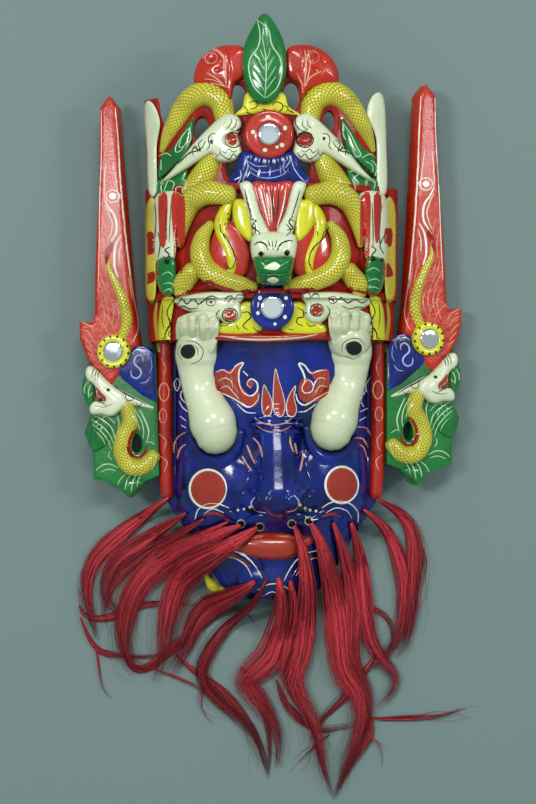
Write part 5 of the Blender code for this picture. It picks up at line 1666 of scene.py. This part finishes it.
FACE_PAINT = (
    PaintJob("palm_eyes", BLACK_LINE, ((0.9, [(186, 341), (195, 342), (202, 348), (203, 354), (199, 361),
        (191, 364)]), (0.8, [(190, 344), (197, 348), (198, 355)]), (0.8, [(181, 344), (178, 352),
        (182, 360)]), (0.9, [(342, 352), (343, 344), (350, 339), (359, 339), (365, 345)]),
        (0.8, [(345, 350), (347, 344), (352, 342)]), (0.9, [(345, 356), (353, 359), (361, 356)])),
        dots=((188, 351.5, 7.4, 7.2), (354, 348, 7.8, 7))),
    PaintJob("palm_shades", ROSE_LINE, ((0.9, [(181, 318), (180, 330)]), (0.9, [(190, 316), (190, 330)]),
        (0.9, [(200, 316), (199, 330)]), (0.9, [(209, 318), (208, 331)]), (0.9, [(331, 315), (332, 329)]),
        (0.9, [(341, 314), (341, 328)]), (0.9, [(350, 314), (350, 328)]), (0.9, [(359, 317), (359, 330)]))),
    PaintJob("brow_flames", WHITE_LINE, ((2.0, [(216, 372), (223, 370), (230, 373), (236, 366), (243, 363),
        (239, 371), (239, 382), (243, 392), (251, 396), (257, 391), (257, 383), (251, 379), (247, 384),
        (251, 388)]), (1.4, [(218, 381), (225, 378), (231, 381), (233, 388)]),
        (1.5, [(220, 389), (227, 386), (233, 392), (239, 399)]), (1.9, [(217, 391), (233, 398), (248, 407),
        (257, 401), (259, 394)]), (1.2, [(243, 371), (248, 376)]), (1.2, [(237, 404), (246, 412),
        (256, 413)]), (2.0, [(326, 370), (318, 371), (311, 373), (304, 365), (299, 364), (303, 372),
        (305, 380), (302, 388), (305, 393), (312, 391), (313, 384), (308, 380), (304, 384)]),
        (1.4, [(326, 379), (319, 378), (315, 383), (313, 390)]), (1.5, [(327, 387), (320, 386),
        (315, 393)]), (1.9, [(328, 392), (317, 398), (305, 405), (298, 401), (296, 394)]),
        (1.2, [(316, 404), (306, 411), (298, 412)]))),
    PaintJob("brow_drops", RED_SPOT, areas=DROPS + FLAMES + (oval(250, 384, 3.6, 3.6),
        oval(307.5, 385, 3, 3)), lift=0.25),
    PaintJob("brow_flame_shades", ROSE_LINE, ((0.7, [(221, 375), (223, 382), (227, 389)]),
        (0.7, [(226, 374), (228, 382), (233, 391)]), (0.7, [(231, 374), (233, 383), (239, 394)]),
        (0.7, [(324, 374), (323, 384), (320, 393)]), (0.7, [(320, 376), (319, 386), (315, 396)]),
        (0.7, [(316, 390), (312, 397)])), lift=0.3),
    PaintJob("brow_drop_rims", WHITE_LINE, tuple((1.0, drop + drop[:2]) for drop in DROPS), lift=0.4),
    PaintJob("nose_strokes", ROSE_LINE, ((1.9, [(253, 438), (258, 443), (261, 450), (262, 457)]),
        (2.3, [(247, 445), (251, 455), (255, 464)]), (2.1, [(242, 456), (246, 463), (252, 471)]),
        (1.7, [(290, 437), (291, 445), (294, 452)]), (2.1, [(295, 443), (297, 454)]),
        (2.3, [(303, 454), (302, 462), (300, 471)]), (1.3, [(255, 418), (263, 423), (274, 425), (285, 423),
        (292, 418)]), (1.1, [(257, 426), (266, 431), (275, 432), (284, 430), (291, 426)]))),
    PaintJob("cheek_strokes", ROSE_LINE, ((1.5, [(186, 432), (178, 437), (174, 445), (174, 453)]),
        (1.9, [(186, 444), (180, 449), (177, 459)]), (1.5, [(356, 427), (366, 428), (371, 436)]),
        (1.9, [(355, 438), (363, 439), (368, 447)]), (1.5, [(359, 444), (364, 448), (367, 458)]))),
    PaintJob("strip_curls", WHITE_LINE, ((1.1, [(177, 378), (174, 384), (177, 391), (180, 383),
        (177, 378)]), (1.3, [(188, 391), (182, 391), (181, 398), (188, 405)]),
        (1.3, [(179, 401), (183, 408), (190, 413)]), (1.1, [(180, 416), (186, 421)]),
        (1.1, [(181, 425), (186, 428)]), (1.1, [(371, 377), (366, 385), (367, 392)]),
        (1.3, [(366, 390), (361, 400), (364, 407)]), (1.1, [(368, 408), (360, 412)]),
        (1.1, [(366, 417), (359, 421)]))),
    PaintJob("cheek_discs", RED_SPOT, areas=(oval(208, 489, 17, 18), oval(342, 485, 15, 17)), lift=0.3),
    PaintJob("cheek_disc_rims", WHITE_LINE, ((2.3, ring(208, 489, 18.3, 19.2)),
        (2.3, ring(342, 485, 16.4, 18.2))), lift=0.5),
    # black ovals painted as the shade inside the nostrils
    PaintJob("nostril_shade", BLACK_LINE, dots=((253, 510, 6.5, 2.4), (301, 507, 6.5, 2.4)), lift=0.2),
    PaintJob("moustache_curls", WHITE_LINE, ((1.4, [(322, 508), (330, 503), (341, 501), (352, 505),
        (358, 513), (358, 522)]), (1.0, [(326, 513), (336, 508), (347, 511), (352, 519)]),
        (1.2, [(305, 516), (311, 520), (318, 519)]), (1.2, [(255, 497), (251, 504), (257, 511),
        (266, 513)]), (1.2, [(294, 495), (299, 502), (295, 510), (287, 512)]),
        (1.4, [(229, 508), (218, 504), (207, 504), (198, 510), (195, 519)]),
        (1.0, [(224, 513), (213, 509), (204, 514)])), dots=((300, 505, 1.4, 1.4), (305, 508, 1.4, 1.4),
        (310, 510, 1.4, 1.4), (316, 511, 1.4, 1.4), (250, 507, 1.3, 1.3), (244, 509, 1.3, 1.3),
        (238, 510, 1.3, 1.3))),
    PaintJob("moustache_fill", RED_SPOT, ((3.2, [(203, 516), (213, 513), (222, 516), (229, 521)]),
        (2.6, [(322, 517), (332, 514), (341, 517)])), lift=0.35),
    PaintJob("hair_holes", CREAM, ((1.1, ring(241, 524, 4, 4)), (1.1, ring(260, 527, 4, 4)),
        (1.1, ring(292, 524, 4, 4)), (1.1, ring(309, 521, 4, 4)))),
    # black dots painted as the shade deep inside the hair holes
    PaintJob("hair_hole_shade", BLACK_LINE, dots=((241, 524, 2.8, 2.8), (260, 527, 2.8, 2.8),
        (292, 524, 2.8, 2.8), (309, 521, 2.8, 2.8))),
    PaintJob("mouth_edge", ORANGE, ((3.0, [(235, 541), (250, 537), (268, 535), (288, 536), (303, 540)]),),
        lift=0.8),
    # black line painted as the shade in the gap under the upper lip
    PaintJob("mouth_gap_shade", BLACK_LINE, ((1.6, [(236, 538), (252, 533), (270, 532), (288, 533),
        (303, 537)]),)),
    PaintJob("jaw_lines", WHITE_LINE, ((1.6, [(209, 556), (220, 551), (233, 551), (245, 556), (255, 566),
        (262, 578)]), (1.2, [(212, 562), (223, 557), (236, 559), (246, 566), (252, 577)]),
        (1.4, [(330, 556), (320, 551), (308, 553), (297, 560), (289, 571), (284, 581)]),
        (1.0, [(326, 562), (315, 558), (304, 565), (296, 576)]))),
    PaintJob("jaw_red", RED_SPOT, ((2.6, [(215, 560), (227, 555), (239, 558), (250, 567)]),
        (2.2, [(322, 558), (310, 558), (300, 566), (292, 577)])), lift=0.35),
    PaintJob("chin_lines", WHITE_LINE, ((1.2, [(258, 590), (267, 585), (277, 584), (287, 588), (292, 595)]),
        (1.0, [(262, 597), (272, 592), (283, 596)]))),
    PaintJob("column_scrolls", ROSE_LINE, ((1.5, ring(164, 392, 5, 9)), (1.1, ring(163, 416, 3.8, 7)),
        (1.2, [(159, 434), (166, 441), (163, 452)]), (1.2, [(160, 456), (167, 462), (164, 472)]),
        (1.0, [(161, 358), (166, 368), (163, 378)]), (1.5, ring(378, 390, 5, 9)),
        (1.1, ring(379, 414, 3.8, 7)), (1.2, [(383, 432), (377, 440), (380, 451)]),
        (1.2, [(382, 455), (376, 461), (379, 471)]), (1.0, [(381, 356), (376, 366), (379, 376)]))),
)

# Laid out by the pixels that show the right wing; the left wing gets them at the same places of its carving.
WING_PAINT = (
    PaintJob("blade_borders", WHITE_LINE, ((1.5, [(421, 96), (419, 130), (418, 165), (416, 200), (413, 240),
        (409, 280), (405, 305), (405, 318), (410, 330)]), (1.0, [(425, 150), (422, 172), (420, 190)]),
        (1.0, [(432, 150), (434, 172), (434, 190)]), (1.0, [(435, 98), (436, 140), (439, 190), (441, 240),
        (443, 280)]))),
    PaintJob("blade_curls", WHITE_LINE, ((2.4, [(434, 188), (430, 196), (425, 203), (423, 212), (424, 221),
        (428, 228), (432, 234)]), (1.3, [(434, 193), (430, 202), (427, 212), (429, 222), (432, 229)]),
        (2.4, [(419, 223), (424, 232), (426, 243), (426, 255), (423, 265)]),
        (1.2, [(418, 229), (421, 240), (421, 252)]), (1.6, ring(426, 184, 6.5, 6)))),
    PaintJob("blade_feathers", ROSE_LINE, ((0.9, [(436, 218), (433, 232), (436, 246)]),
        (0.9, [(440, 226), (437, 242), (438, 258)]), (0.9, [(421, 238), (417, 252), (419, 268)]),
        (0.9, [(419, 262), (416, 272), (414, 284)]), (0.9, [(413, 266), (411, 276), (409, 288)]),
        (1.0, [(440, 260), (437, 272), (432, 282)]), (1.0, [(443, 268), (439, 278), (434, 288)]),
        (0.9, [(436, 262), (434, 270), (432, 276)]), (1.1, [(426, 290), (423, 302), (427, 316)]),
        (1.0, [(432, 284), (428, 298), (430, 312)]), (1.0, [(437, 286), (433, 300), (437, 316)]),
        (1.0, [(441, 288), (437, 302), (441, 320)]), (1.0, [(428, 318), (433, 306), (440, 298)]),
        (1.0, [(434, 321), (440, 310), (448, 303)]), (1.1, [(447, 320), (452, 313), (460, 309)]),
        (1.1, [(449, 327), (454, 319), (461, 316)]), (1.1, [(450, 334), (455, 327), (460, 324)]),
        (1.1, [(449, 341), (454, 335), (457, 332)]), (1.1, [(448, 347), (452, 342), (455, 340)]),
        (1.0, [(444, 305), (451, 309), (459, 308)]))),
    PaintJob("blade_bead", RED_SPOT, dots=((426, 184, 3.4, 3.2),), lift=0.35),
    # root of the blade's flame, in the red that is darkened as painted shade
    PaintJob("blade_flame_root", SHADED_RED, areas=([(429, 229), (433, 234), (436, 241), (434, 252),
        (431, 244), (427, 235)],)),
    PaintJob("boss_beads", BLACK_LINE, dots=tuple((429 + 14 * math.cos(a), 339 + 15 * math.sin(a),
        1.1, 1.3) for a in (0.1 + 2 * math.pi * i / 13 for i in range(13)))),
    PaintJob("blue_curls", BLUE_LINE, ((1.7, [(401, 350), (401, 345), (405, 343), (409, 347), (409, 352),
        (404, 357), (403, 362), (407, 366), (412, 364), (413, 358)]), (1.0, [(397, 349), (395, 342),
        (399, 336), (406, 335)]), (0.9, [(400, 341), (405, 338), (410, 340)]),
        (0.9, [(394, 365), (398, 370), (404, 371)]), (0.8, [(393, 345), (392, 355), (395, 362)]))),
    PaintJob("head_lines", BLACK_LINE, ((1.1, [(398, 393), (410, 386), (422, 379), (434, 370)]),
        (0.9, [(442, 356), (445, 361), (446, 367)]), (0.9, [(445, 355), (448, 361), (448, 367)]),
        (0.9, [(448, 354), (451, 360), (451, 365)]), (1.0, [(410, 384), (413, 388), (418, 387),
        (419, 380)]), (0.9, [(402, 390), (406, 394), (409, 390)]), (0.8, [(432, 391), (440, 394),
        (449, 393)]), (0.8, [(437, 393), (444, 389), (450, 387)])), dots=((435.5, 377, 1.9, 1.6),)),
    PaintJob("wing_mouth", RED_SPOT, areas=([(447, 374), (442, 380), (438, 385), (440, 390), (446, 388),
        (450, 384), (448, 379)],), lift=0.3),
    PaintJob("hole_rim", RED, ((2.6, [(400, 434), (402, 441), (408, 445), (414, 443), (417, 436),
        (416, 427), (412, 420), (407, 417)]),), lift=0.7),
    PaintJob("fin_strokes", GREEN_LINE, ((1.5, [(405, 398), (400, 409), (397, 420), (399, 430)]),
        (1.1, [(410, 397), (404, 409), (402, 419), (403, 427)]), (1.0, [(414, 400), (408, 410),
        (406, 418)]), (1.0, [(391, 433), (396, 430), (400, 431)]), (1.1, [(428, 402), (426, 410),
        (428, 420)]), (1.0, [(432, 401), (438, 402), (443, 406)]), (1.3, [(450, 402), (440, 408),
        (433, 416), (430, 427)]), (1.1, [(453, 406), (444, 412), (436, 421), (432, 431)]),
        (1.1, [(452, 411), (445, 417), (438, 426), (434, 437)]), (1.0, [(447, 402), (437, 404),
        (430, 411)]), (0.9, [(449, 418), (443, 425), (440, 432)]), (1.2, [(428, 455), (436, 451),
        (444, 452), (450, 457)]), (1.0, [(430, 458), (438, 456), (446, 459)]),
        (1.0, [(434, 447), (437, 443), (436, 438)]), (1.1, [(410, 462), (414, 469), (416, 479)]),
        (1.1, [(415, 461), (420, 468), (422, 477)]), (1.0, [(420, 461), (426, 466), (429, 472)]),
        (1.0, [(405, 462), (409, 468), (410, 474)]), (1.1, [(452, 371), (455, 377), (455, 384)]),
        (1.0, [(456, 369), (459, 374), (459, 380)]), (0.9, [(451, 379), (454, 383)]),
        (0.9, [(389, 442), (392, 452), (395, 458)]))),
)


# Beard

@dataclass
class Tuft:
    """One tuft of dyed horsehair, which leaves the wood as a tight bunch, fans out and thins to wisps.

    Its route is the one that the CAD solid follows over the carver's grid.
    """
    name: str
    route: tuple
    wide: float = 10.0           # half width of the fan where it is widest
    strands: int = 300
    layer: float = 3.0           # how far it lies over the wood or the floor
    light: float = 1.0           # how much light reaches it
    tip: float = 0.25            # half width at its end, as a share of the widest
    deep: float = 4.0            # thickness of the tuft
    wander: float = 3.0          # how far single hairs stray
    replaces: bool = True


@dataclass
class Beard:
    """All the tufts, hair by hair."""
    knots: int = 13              # points along a hair
    root_mm: float = 0.23        # radius of a hair, drawn thick enough to show in the render
    thicker: float = 1.15        # how many hairs stand for each one that a tuft names
    shorter: float = 0.6         # how much of its length a hair may lack
    loose: float = 0.25          # share of hairs that lie in no bundle
    loose_reach: float = 1.25    # how far those lie from the middle, in half widths
    calm: float = 0.84           # share of hairs that sway little
    calm_sway: float = 1.3
    wild_sway: float = 7.0
    steep: float = 1.4           # how steeply hair falls off the edge of the wood
    tufts: tuple = (
        Tuft("left_outer", ((-88, -82), (-122, -108), (-152, -134), (-162, -158), (-160, -184),
                            (-152, -211)),
             wide=6, strands=230, layer=3, light=0.95, tip=0.3),
        Tuft("left_cheek", ((-73, -95), (-108, -119), (-136, -138), (-146, -160), (-142, -178),
                            (-128, -187)),
             wide=6, strands=200, layer=4, light=0.9, tip=0.5),
        Tuft("left_mid", ((-57, -99), (-82, -115), (-114, -134), (-136, -155), (-147, -180), (-145, -200)),
             wide=4.5, strands=110, layer=4, light=0.85, tip=0.3, replaces=False),
        Tuft("left_near", ((-37, -101), (-65, -117), (-97, -142), (-116, -172), (-125, -207), (-121, -229)),
             wide=5, strands=130, layer=6, light=1.0, tip=0.3, replaces=False),
        Tuft("left_lip", ((-26, -104), (-72, -124), (-110, -152), (-127, -184), (-129, -215), (-117, -234),
                          (-102, -228)), wide=9.5, strands=330, layer=8, light=0.9, tip=0.3),
        Tuft("left_inner", ((-12, -106), (-46, -128), (-74, -148), (-87, -172), (-93, -203), (-97, -232),
                            (-104, -247)), wide=9.5, strands=330, layer=10, light=1.0, tip=0.45),
        Tuft("chin_left", ((-14, -152), (-32, -166), (-62, -186), (-76, -215), (-90, -240)), wide=9,
             strands=260, layer=6, light=0.6, tip=0.7),
        Tuft("chin_sweep", ((-4, -150), (-18, -176), (-46, -205), (-62, -236), (-50, -260), (-19, -287),
                            (-3, -328)), wide=5, strands=160, layer=4, light=0.3, tip=0.3),
        Tuft("chin_middle", ((6, -149), (8, -180), (-2, -222), (-24, -244), (-14, -258), (4, -290),
                             (4, -322)),
             wide=10, strands=300, layer=7, light=0.9, tip=0.15),
        Tuft("chin_right", ((16, -151), (19, -186), (12, -234), (24, -262), (33, -285)), wide=8,
             strands=220, layer=6, light=0.9, tip=0.4),
        Tuft("right_inner", ((19, -104), (26, -124), (31, -166), (27, -220), (20, -246), (40, -284),
                             (44, -312),
                             (55, -346)), wide=8, strands=290, layer=10, light=1.0, tip=0.2),
        Tuft("right_lip", ((33, -102), (42, -120), (56, -179), (62, -235), (77, -258), (78, -283),
                           (65, -318),
                           (58, -344)), wide=9.5, strands=340, layer=9, light=1.0, tip=0.25),
        Tuft("right_mid", ((52, -102), (64, -138), (71, -182), (71, -225), (86, -258), (83, -294)),
             wide=7, strands=230, layer=7, light=0.9, tip=0.4),
        Tuft("right_cheek", ((68, -103), (78, -140), (81, -179), (88, -212), (107, -238), (109, -248),
                             (93, -270)),
             wide=7, strands=240, layer=6, light=0.95, tip=0.4),
        Tuft("right_outer", ((79, -92), (102, -114), (114, -146), (116, -170), (112, -202), (99, -223),
                             (84, -236)), wide=6, strands=230, layer=4, light=0.8, tip=0.6),
        Tuft("right_edge", ((90, -83), (115, -100), (125, -124), (123, -170), (118, -210), (108, -226)),
             wide=6, strands=230, layer=5, light=0.75, tip=0.5))

    # thin dark loops and wisps: the number of strands, and the route by the pixels of the photograph
    strays: tuple = (
        (60, ((79, 606), (84, 615), (98, 619), (122, 614), (150, 604), (199, 605))),
        (34, ((80, 618), (92, 643), (108, 654), (148, 656), (170, 650))),
        (80, ((122, 640), (131, 667), (148, 668), (167, 652), (194, 633), (221, 612), (245, 611),
              (258, 630))),
        (60, ((176, 655), (186, 665), (221, 692), (247, 721), (261, 748), (269, 780))),
        (50, ((240, 668), (248, 678), (266, 716), (270, 751), (268, 782))),
        (50, ((276, 680), (288, 708), (314, 729), (341, 728), (363, 721))),
        (60, ((378, 652), (368, 668), (349, 694), (322, 721), (306, 745))),
        (90, ((360, 690), (367, 712), (368, 735), (352, 761), (340, 785), (333, 801))),
        (30, ((345, 614), (368, 607), (389, 619), (393, 641), (385, 657))),
        (26, ((366, 716), (379, 719), (435, 717), (462, 710), (478, 709))),
        (26, ((310, 722), (316, 735), (324, 769), (331, 796))),
        (8, ((92, 640), (97, 655), (103, 689), (119, 705))),
        (8, ((207, 670), (202, 700), (206, 716), (221, 729))),
        (10, ((150, 668), (175, 677), (200, 690), (214, 712))),
        (8, ((420, 540), (425, 560), (424, 585), (416, 600))),
        (8, ((365, 730), (380, 748), (382, 770))),
        (8, ((330, 735), (310, 750), (288, 775))))

    @staticmethod
    def ground(painter: Painter, x: float, y: float) -> float:
        """Height of the wood, or of the floor, under a grid point."""
        found = painter.wood.ray_cast(Vector((x, y, OVER_ALL)), Vector((0, 0, -1)))[0]
        return found.z if found is not None and found.z > 0 else 0.0

    def hairs(self, tuft: Tuft, painter: Painter, random: np.random.Generator) -> Form:
        """Every hair of a tuft as a thin three-sided tube.

        Args:
            tuft: the tuft.
            painter: what knows the height of the wood.
            random: seeded source of its small differences.

        Returns:
            A form with a tone for each point.
        """
        line = smooth(tuft.route, 3.0)
        run = np.concatenate([[0], np.cumsum(np.hypot(*np.diff(line, axis=0).T))])
        share = np.linspace(0, 1, self.knots)
        points, faces, tones = [], [], []
        turn = 2 * math.pi * np.arange(3) / 3
        first = 0
        bundles = random.uniform(-0.95, 0.95, 9)
        for _ in range(round(tuft.strands * self.thicker)):
            length = 1 - self.shorter * random.random()
            along = share * length * run[-1]
            x, y = np.interp(along, run, line[:, 0]), np.interp(along, run, line[:, 1])
            way = np.gradient(np.column_stack([x, y]), axis=0)
            way /= np.maximum(np.hypot(*way.T), TINY)[:, None]
            own = random.choice(bundles) + random.normal(0, 0.1)
            if random.random() < self.loose:
                own = random.uniform(-self.loose_reach, self.loose_reach)
            own = np.clip(own, -1.3, 1.3)
            s = share * length
            fan = np.interp(s, (0, 0.12, 0.4, 0.72, 1), (0.15, 0.5, 1.1, 0.7, tuft.tip * 0.45)) * tuft.wide
            sway = self.calm_sway if random.random() < self.calm else self.wild_sway
            stray = tuft.wander * s ** 1.5 * sway
            wave = np.sin(s * random.uniform(3, 7) + random.uniform(0, 6.3)) * random.normal(0, 0.55) * stray
            off = own * fan + wave
            x, y = x - way[:, 1] * off, y + way[:, 0] * off
            height = random.random() * math.sqrt(max(0.05, 1 - min(own ** 2, 1)))
            over = tuft.layer * np.interp(s, (0, 0.15, 1), (0.35, 1, 0.7)) + tuft.deep * height
            z = np.array([self.ground(painter, px, py) for px, py in zip(x, y)]) + over
            step = np.hypot(np.diff(x), np.diff(y)) * self.steep
            for i in range(1, self.knots):
                z[i] = max(z[i], z[i - 1] - step[i - 1])
            for i in range(self.knots - 2, -1, -1):
                z[i] = max(z[i], z[i + 1] - step[i])
            path = np.column_stack([x, y, z])
            radius = self.root_mm * np.interp(share, (0, 0.1, 0.6, 1), (1, 1.1, 0.9, 0.3))
            side = np.column_stack([-way[:, 1], way[:, 0], np.zeros(self.knots)])
            up = np.array([0, 0, 1.0])
            ring = path[:, None, :] + radius[:, None, None] * (
                np.cos(turn)[None, :, None] * side[:, None, :] + np.sin(turn)[None, :, None] * up)
            points.append(ring.reshape(-1, 3))
            for i in range(self.knots - 1):
                a = first + 3 * i
                faces += [(a, a + 1, a + 4, a + 3), (a + 1, a + 2, a + 5, a + 4), (a + 2, a, a + 3, a + 5)]
            last = first + 3 * (self.knots - 1)
            faces += [(first + 2, first + 1, first), (last, last + 1, last + 2)]
            first += 3 * self.knots
            # tone: random for each hair, darkened as painted shade where the hair lies deep in the tuft and
            # by the tuft's share of light; darker towards the tip
            tone = tuft.light * (0.3 + 0.7 * height) * random.choice((0.2, 0.7, 1.1, 1.7))
            fade = np.interp(s, (0, 0.1, 0.45, 0.75, 1), (1, 1.1, 1, 0.5, 0.2))
            tones.append(np.repeat(np.clip(tone * fade, 0, 1), 3))
        return Form(np.concatenate(points), faces, None, np.concatenate(tones))

    def build(self, shop: Shop, painter: Painter) -> None:
        """Make the beard."""
        random = np.random.default_rng(SEED)
        for tuft in self.tufts:
            replaces = ["hair_" + tuft.name] if tuft.replaces else []
            shop.add("tuft_" + tuft.name, [self.hairs(tuft, painter, random)], HAIR, Slot.HAIR, replaces,
                     carved=False, sharp=0)
        strays = []
        for strands, pixels in self.strays:
            route = tuple(EYE.grid(x, y, 4) for x, y in pixels)
            strays.append(self.hairs(Tuft("stray", route, wide=1.2 + strands / 28, strands=strands,
                                          layer=1.5, light=0.55, tip=0.5, deep=2.5, wander=2.0),
                                     painter, random))
        shop.add("tuft_strays", strays, HAIR, Slot.HAIR, carved=False, sharp=0)


# Floor, light and camera

@dataclass
class Studio:
    """Pale floor, soft boxes and the camera that looks straight down as the photograph does."""
    floor_mm: float = 6000.0
    key_power: float = 13.0
    fill_power: float = 13.0
    world_strength: float = 0.47
    ceiling_strength: float = 0.85           # of the pale ceiling over the camera, which the mirrors show

    @staticmethod
    def soft_box(name: str, at: Point, aim: Point, size: Point, power: float) -> None:
        """Hang a soft box at a grid point, aimed at another, with its sides in millimetres."""
        light = bpy.data.lights.new(name, "AREA")
        light.shape = "RECTANGLE"
        light.size, light.size_y = size[0] * MM, size[1] * MM
        light.energy = power
        obj = bpy.data.objects.new(name, light)
        obj.location = Vector(at) * MM
        obj.rotation_euler = (Vector(aim) - Vector(at)).to_track_quat("-Z", "Y").to_euler()
        bpy.context.scene.collection.objects.link(obj)

    def build(self, shop: Shop) -> None:
        """Set up the studio."""
        half = self.floor_mm / 2 * MM
        mesh = bpy.data.meshes.new("floor")
        mesh.from_pydata([(-half, -half, 0), (half, -half, 0), (half, half, 0), (-half, half, 0)], [],
                         [(0, 1, 2, 3)])
        mesh.materials.append(shop.material(PAPER))
        floor = bpy.data.objects.new("floor", mesh)
        bpy.context.scene.collection.objects.link(floor)
        self.soft_box("right", (1760, 560, 1900), (0, 150, 60), (200, 600), self.key_power)
        self.soft_box("left", (-903, 375, 1900), (0, 100, 60), (250, 460), self.key_power)
        self.soft_box("top", (60, 1050, 1900), (0, 0, 60), (700, 300), self.fill_power)
        world = bpy.data.worlds.new("studio")
        world.use_nodes = True
        tree = world.node_tree
        way = add_node(tree, "SeparateXYZ", None,
                       {0: add_node(tree, "TexCoord").outputs["Generated"]}).outputs[2]
        sky = add_node(tree, "MapRange",
                       {1: 0.95, 2: 0.985, 3: self.world_strength, 4: self.ceiling_strength},
                       {0: way}).outputs[0]
        ground = tree.nodes["Background"]
        ground.inputs["Color"].default_value = linear("#E3ECEF")
        tree.links.new(sky, ground.inputs["Strength"])
        bpy.context.scene.world = world
        bpy.context.scene.view_settings.view_transform = "Standard"
        lens = bpy.data.cameras.new("camera")
        lens.lens = EYE.lens()
        lens.sensor_fit = "VERTICAL"
        lens.sensor_height = EYE.sensor_mm
        lens.sensor_width = EYE.sensor_mm
        camera = bpy.data.objects.new("camera", lens)
        camera.location = shop.to_frame(np.array(EYE.at))
        bpy.context.scene.collection.objects.link(camera)
        bpy.context.scene.camera = camera


def shifted(points: np.ndarray, at: Point) -> np.ndarray:
    """Points moved by a vector."""
    return points + np.array(at)


def same_pixel(x: float, y: float) -> tuple[float, float]:
    """The pixel itself, for paint that stays where it is drawn."""
    return x, y


def main() -> None:
    """Build the looks of the mask, piece by piece."""
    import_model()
    shop = Shop()
    Block().build(shop)
    Crown().build(shop)
    Band().build(shop)
    BrowTier().build(shop)
    FaceParts().build(shop)
    for boss, at in ((Boss("crown", 20.3, 18.2, RED), (-2, 221, 113)),
                     (Boss("brow", 18.2, 19.0, BLUE), (0.4, 77.8, 116))):
        boss.build(shop, partial(shifted, at=at))
    right = Wing("wing_right", 1, math.radians(18))
    left = Wing("wing_left", -1, math.radians(9), math.radians(-1.6), 11.0)
    right.build(shop)
    left.build(shop)
    painter = Painter(shop)
    for job in CROWN_PAINT + BAND_PAINT + BROW_PAINT + FACE_PAINT:
        job.build(shop, painter)
    for job in WING_PAINT:
        job = replace(job, slot=Slot.WING)
        job.carried(same_pixel, "_right").build(shop, painter)
        job.carried(partial(right.pixel_on, left), "_left").build(shop, painter)
    Beard().build(shop, painter)
    Studio().build(shop)


if __name__ == "__main__":
    main()
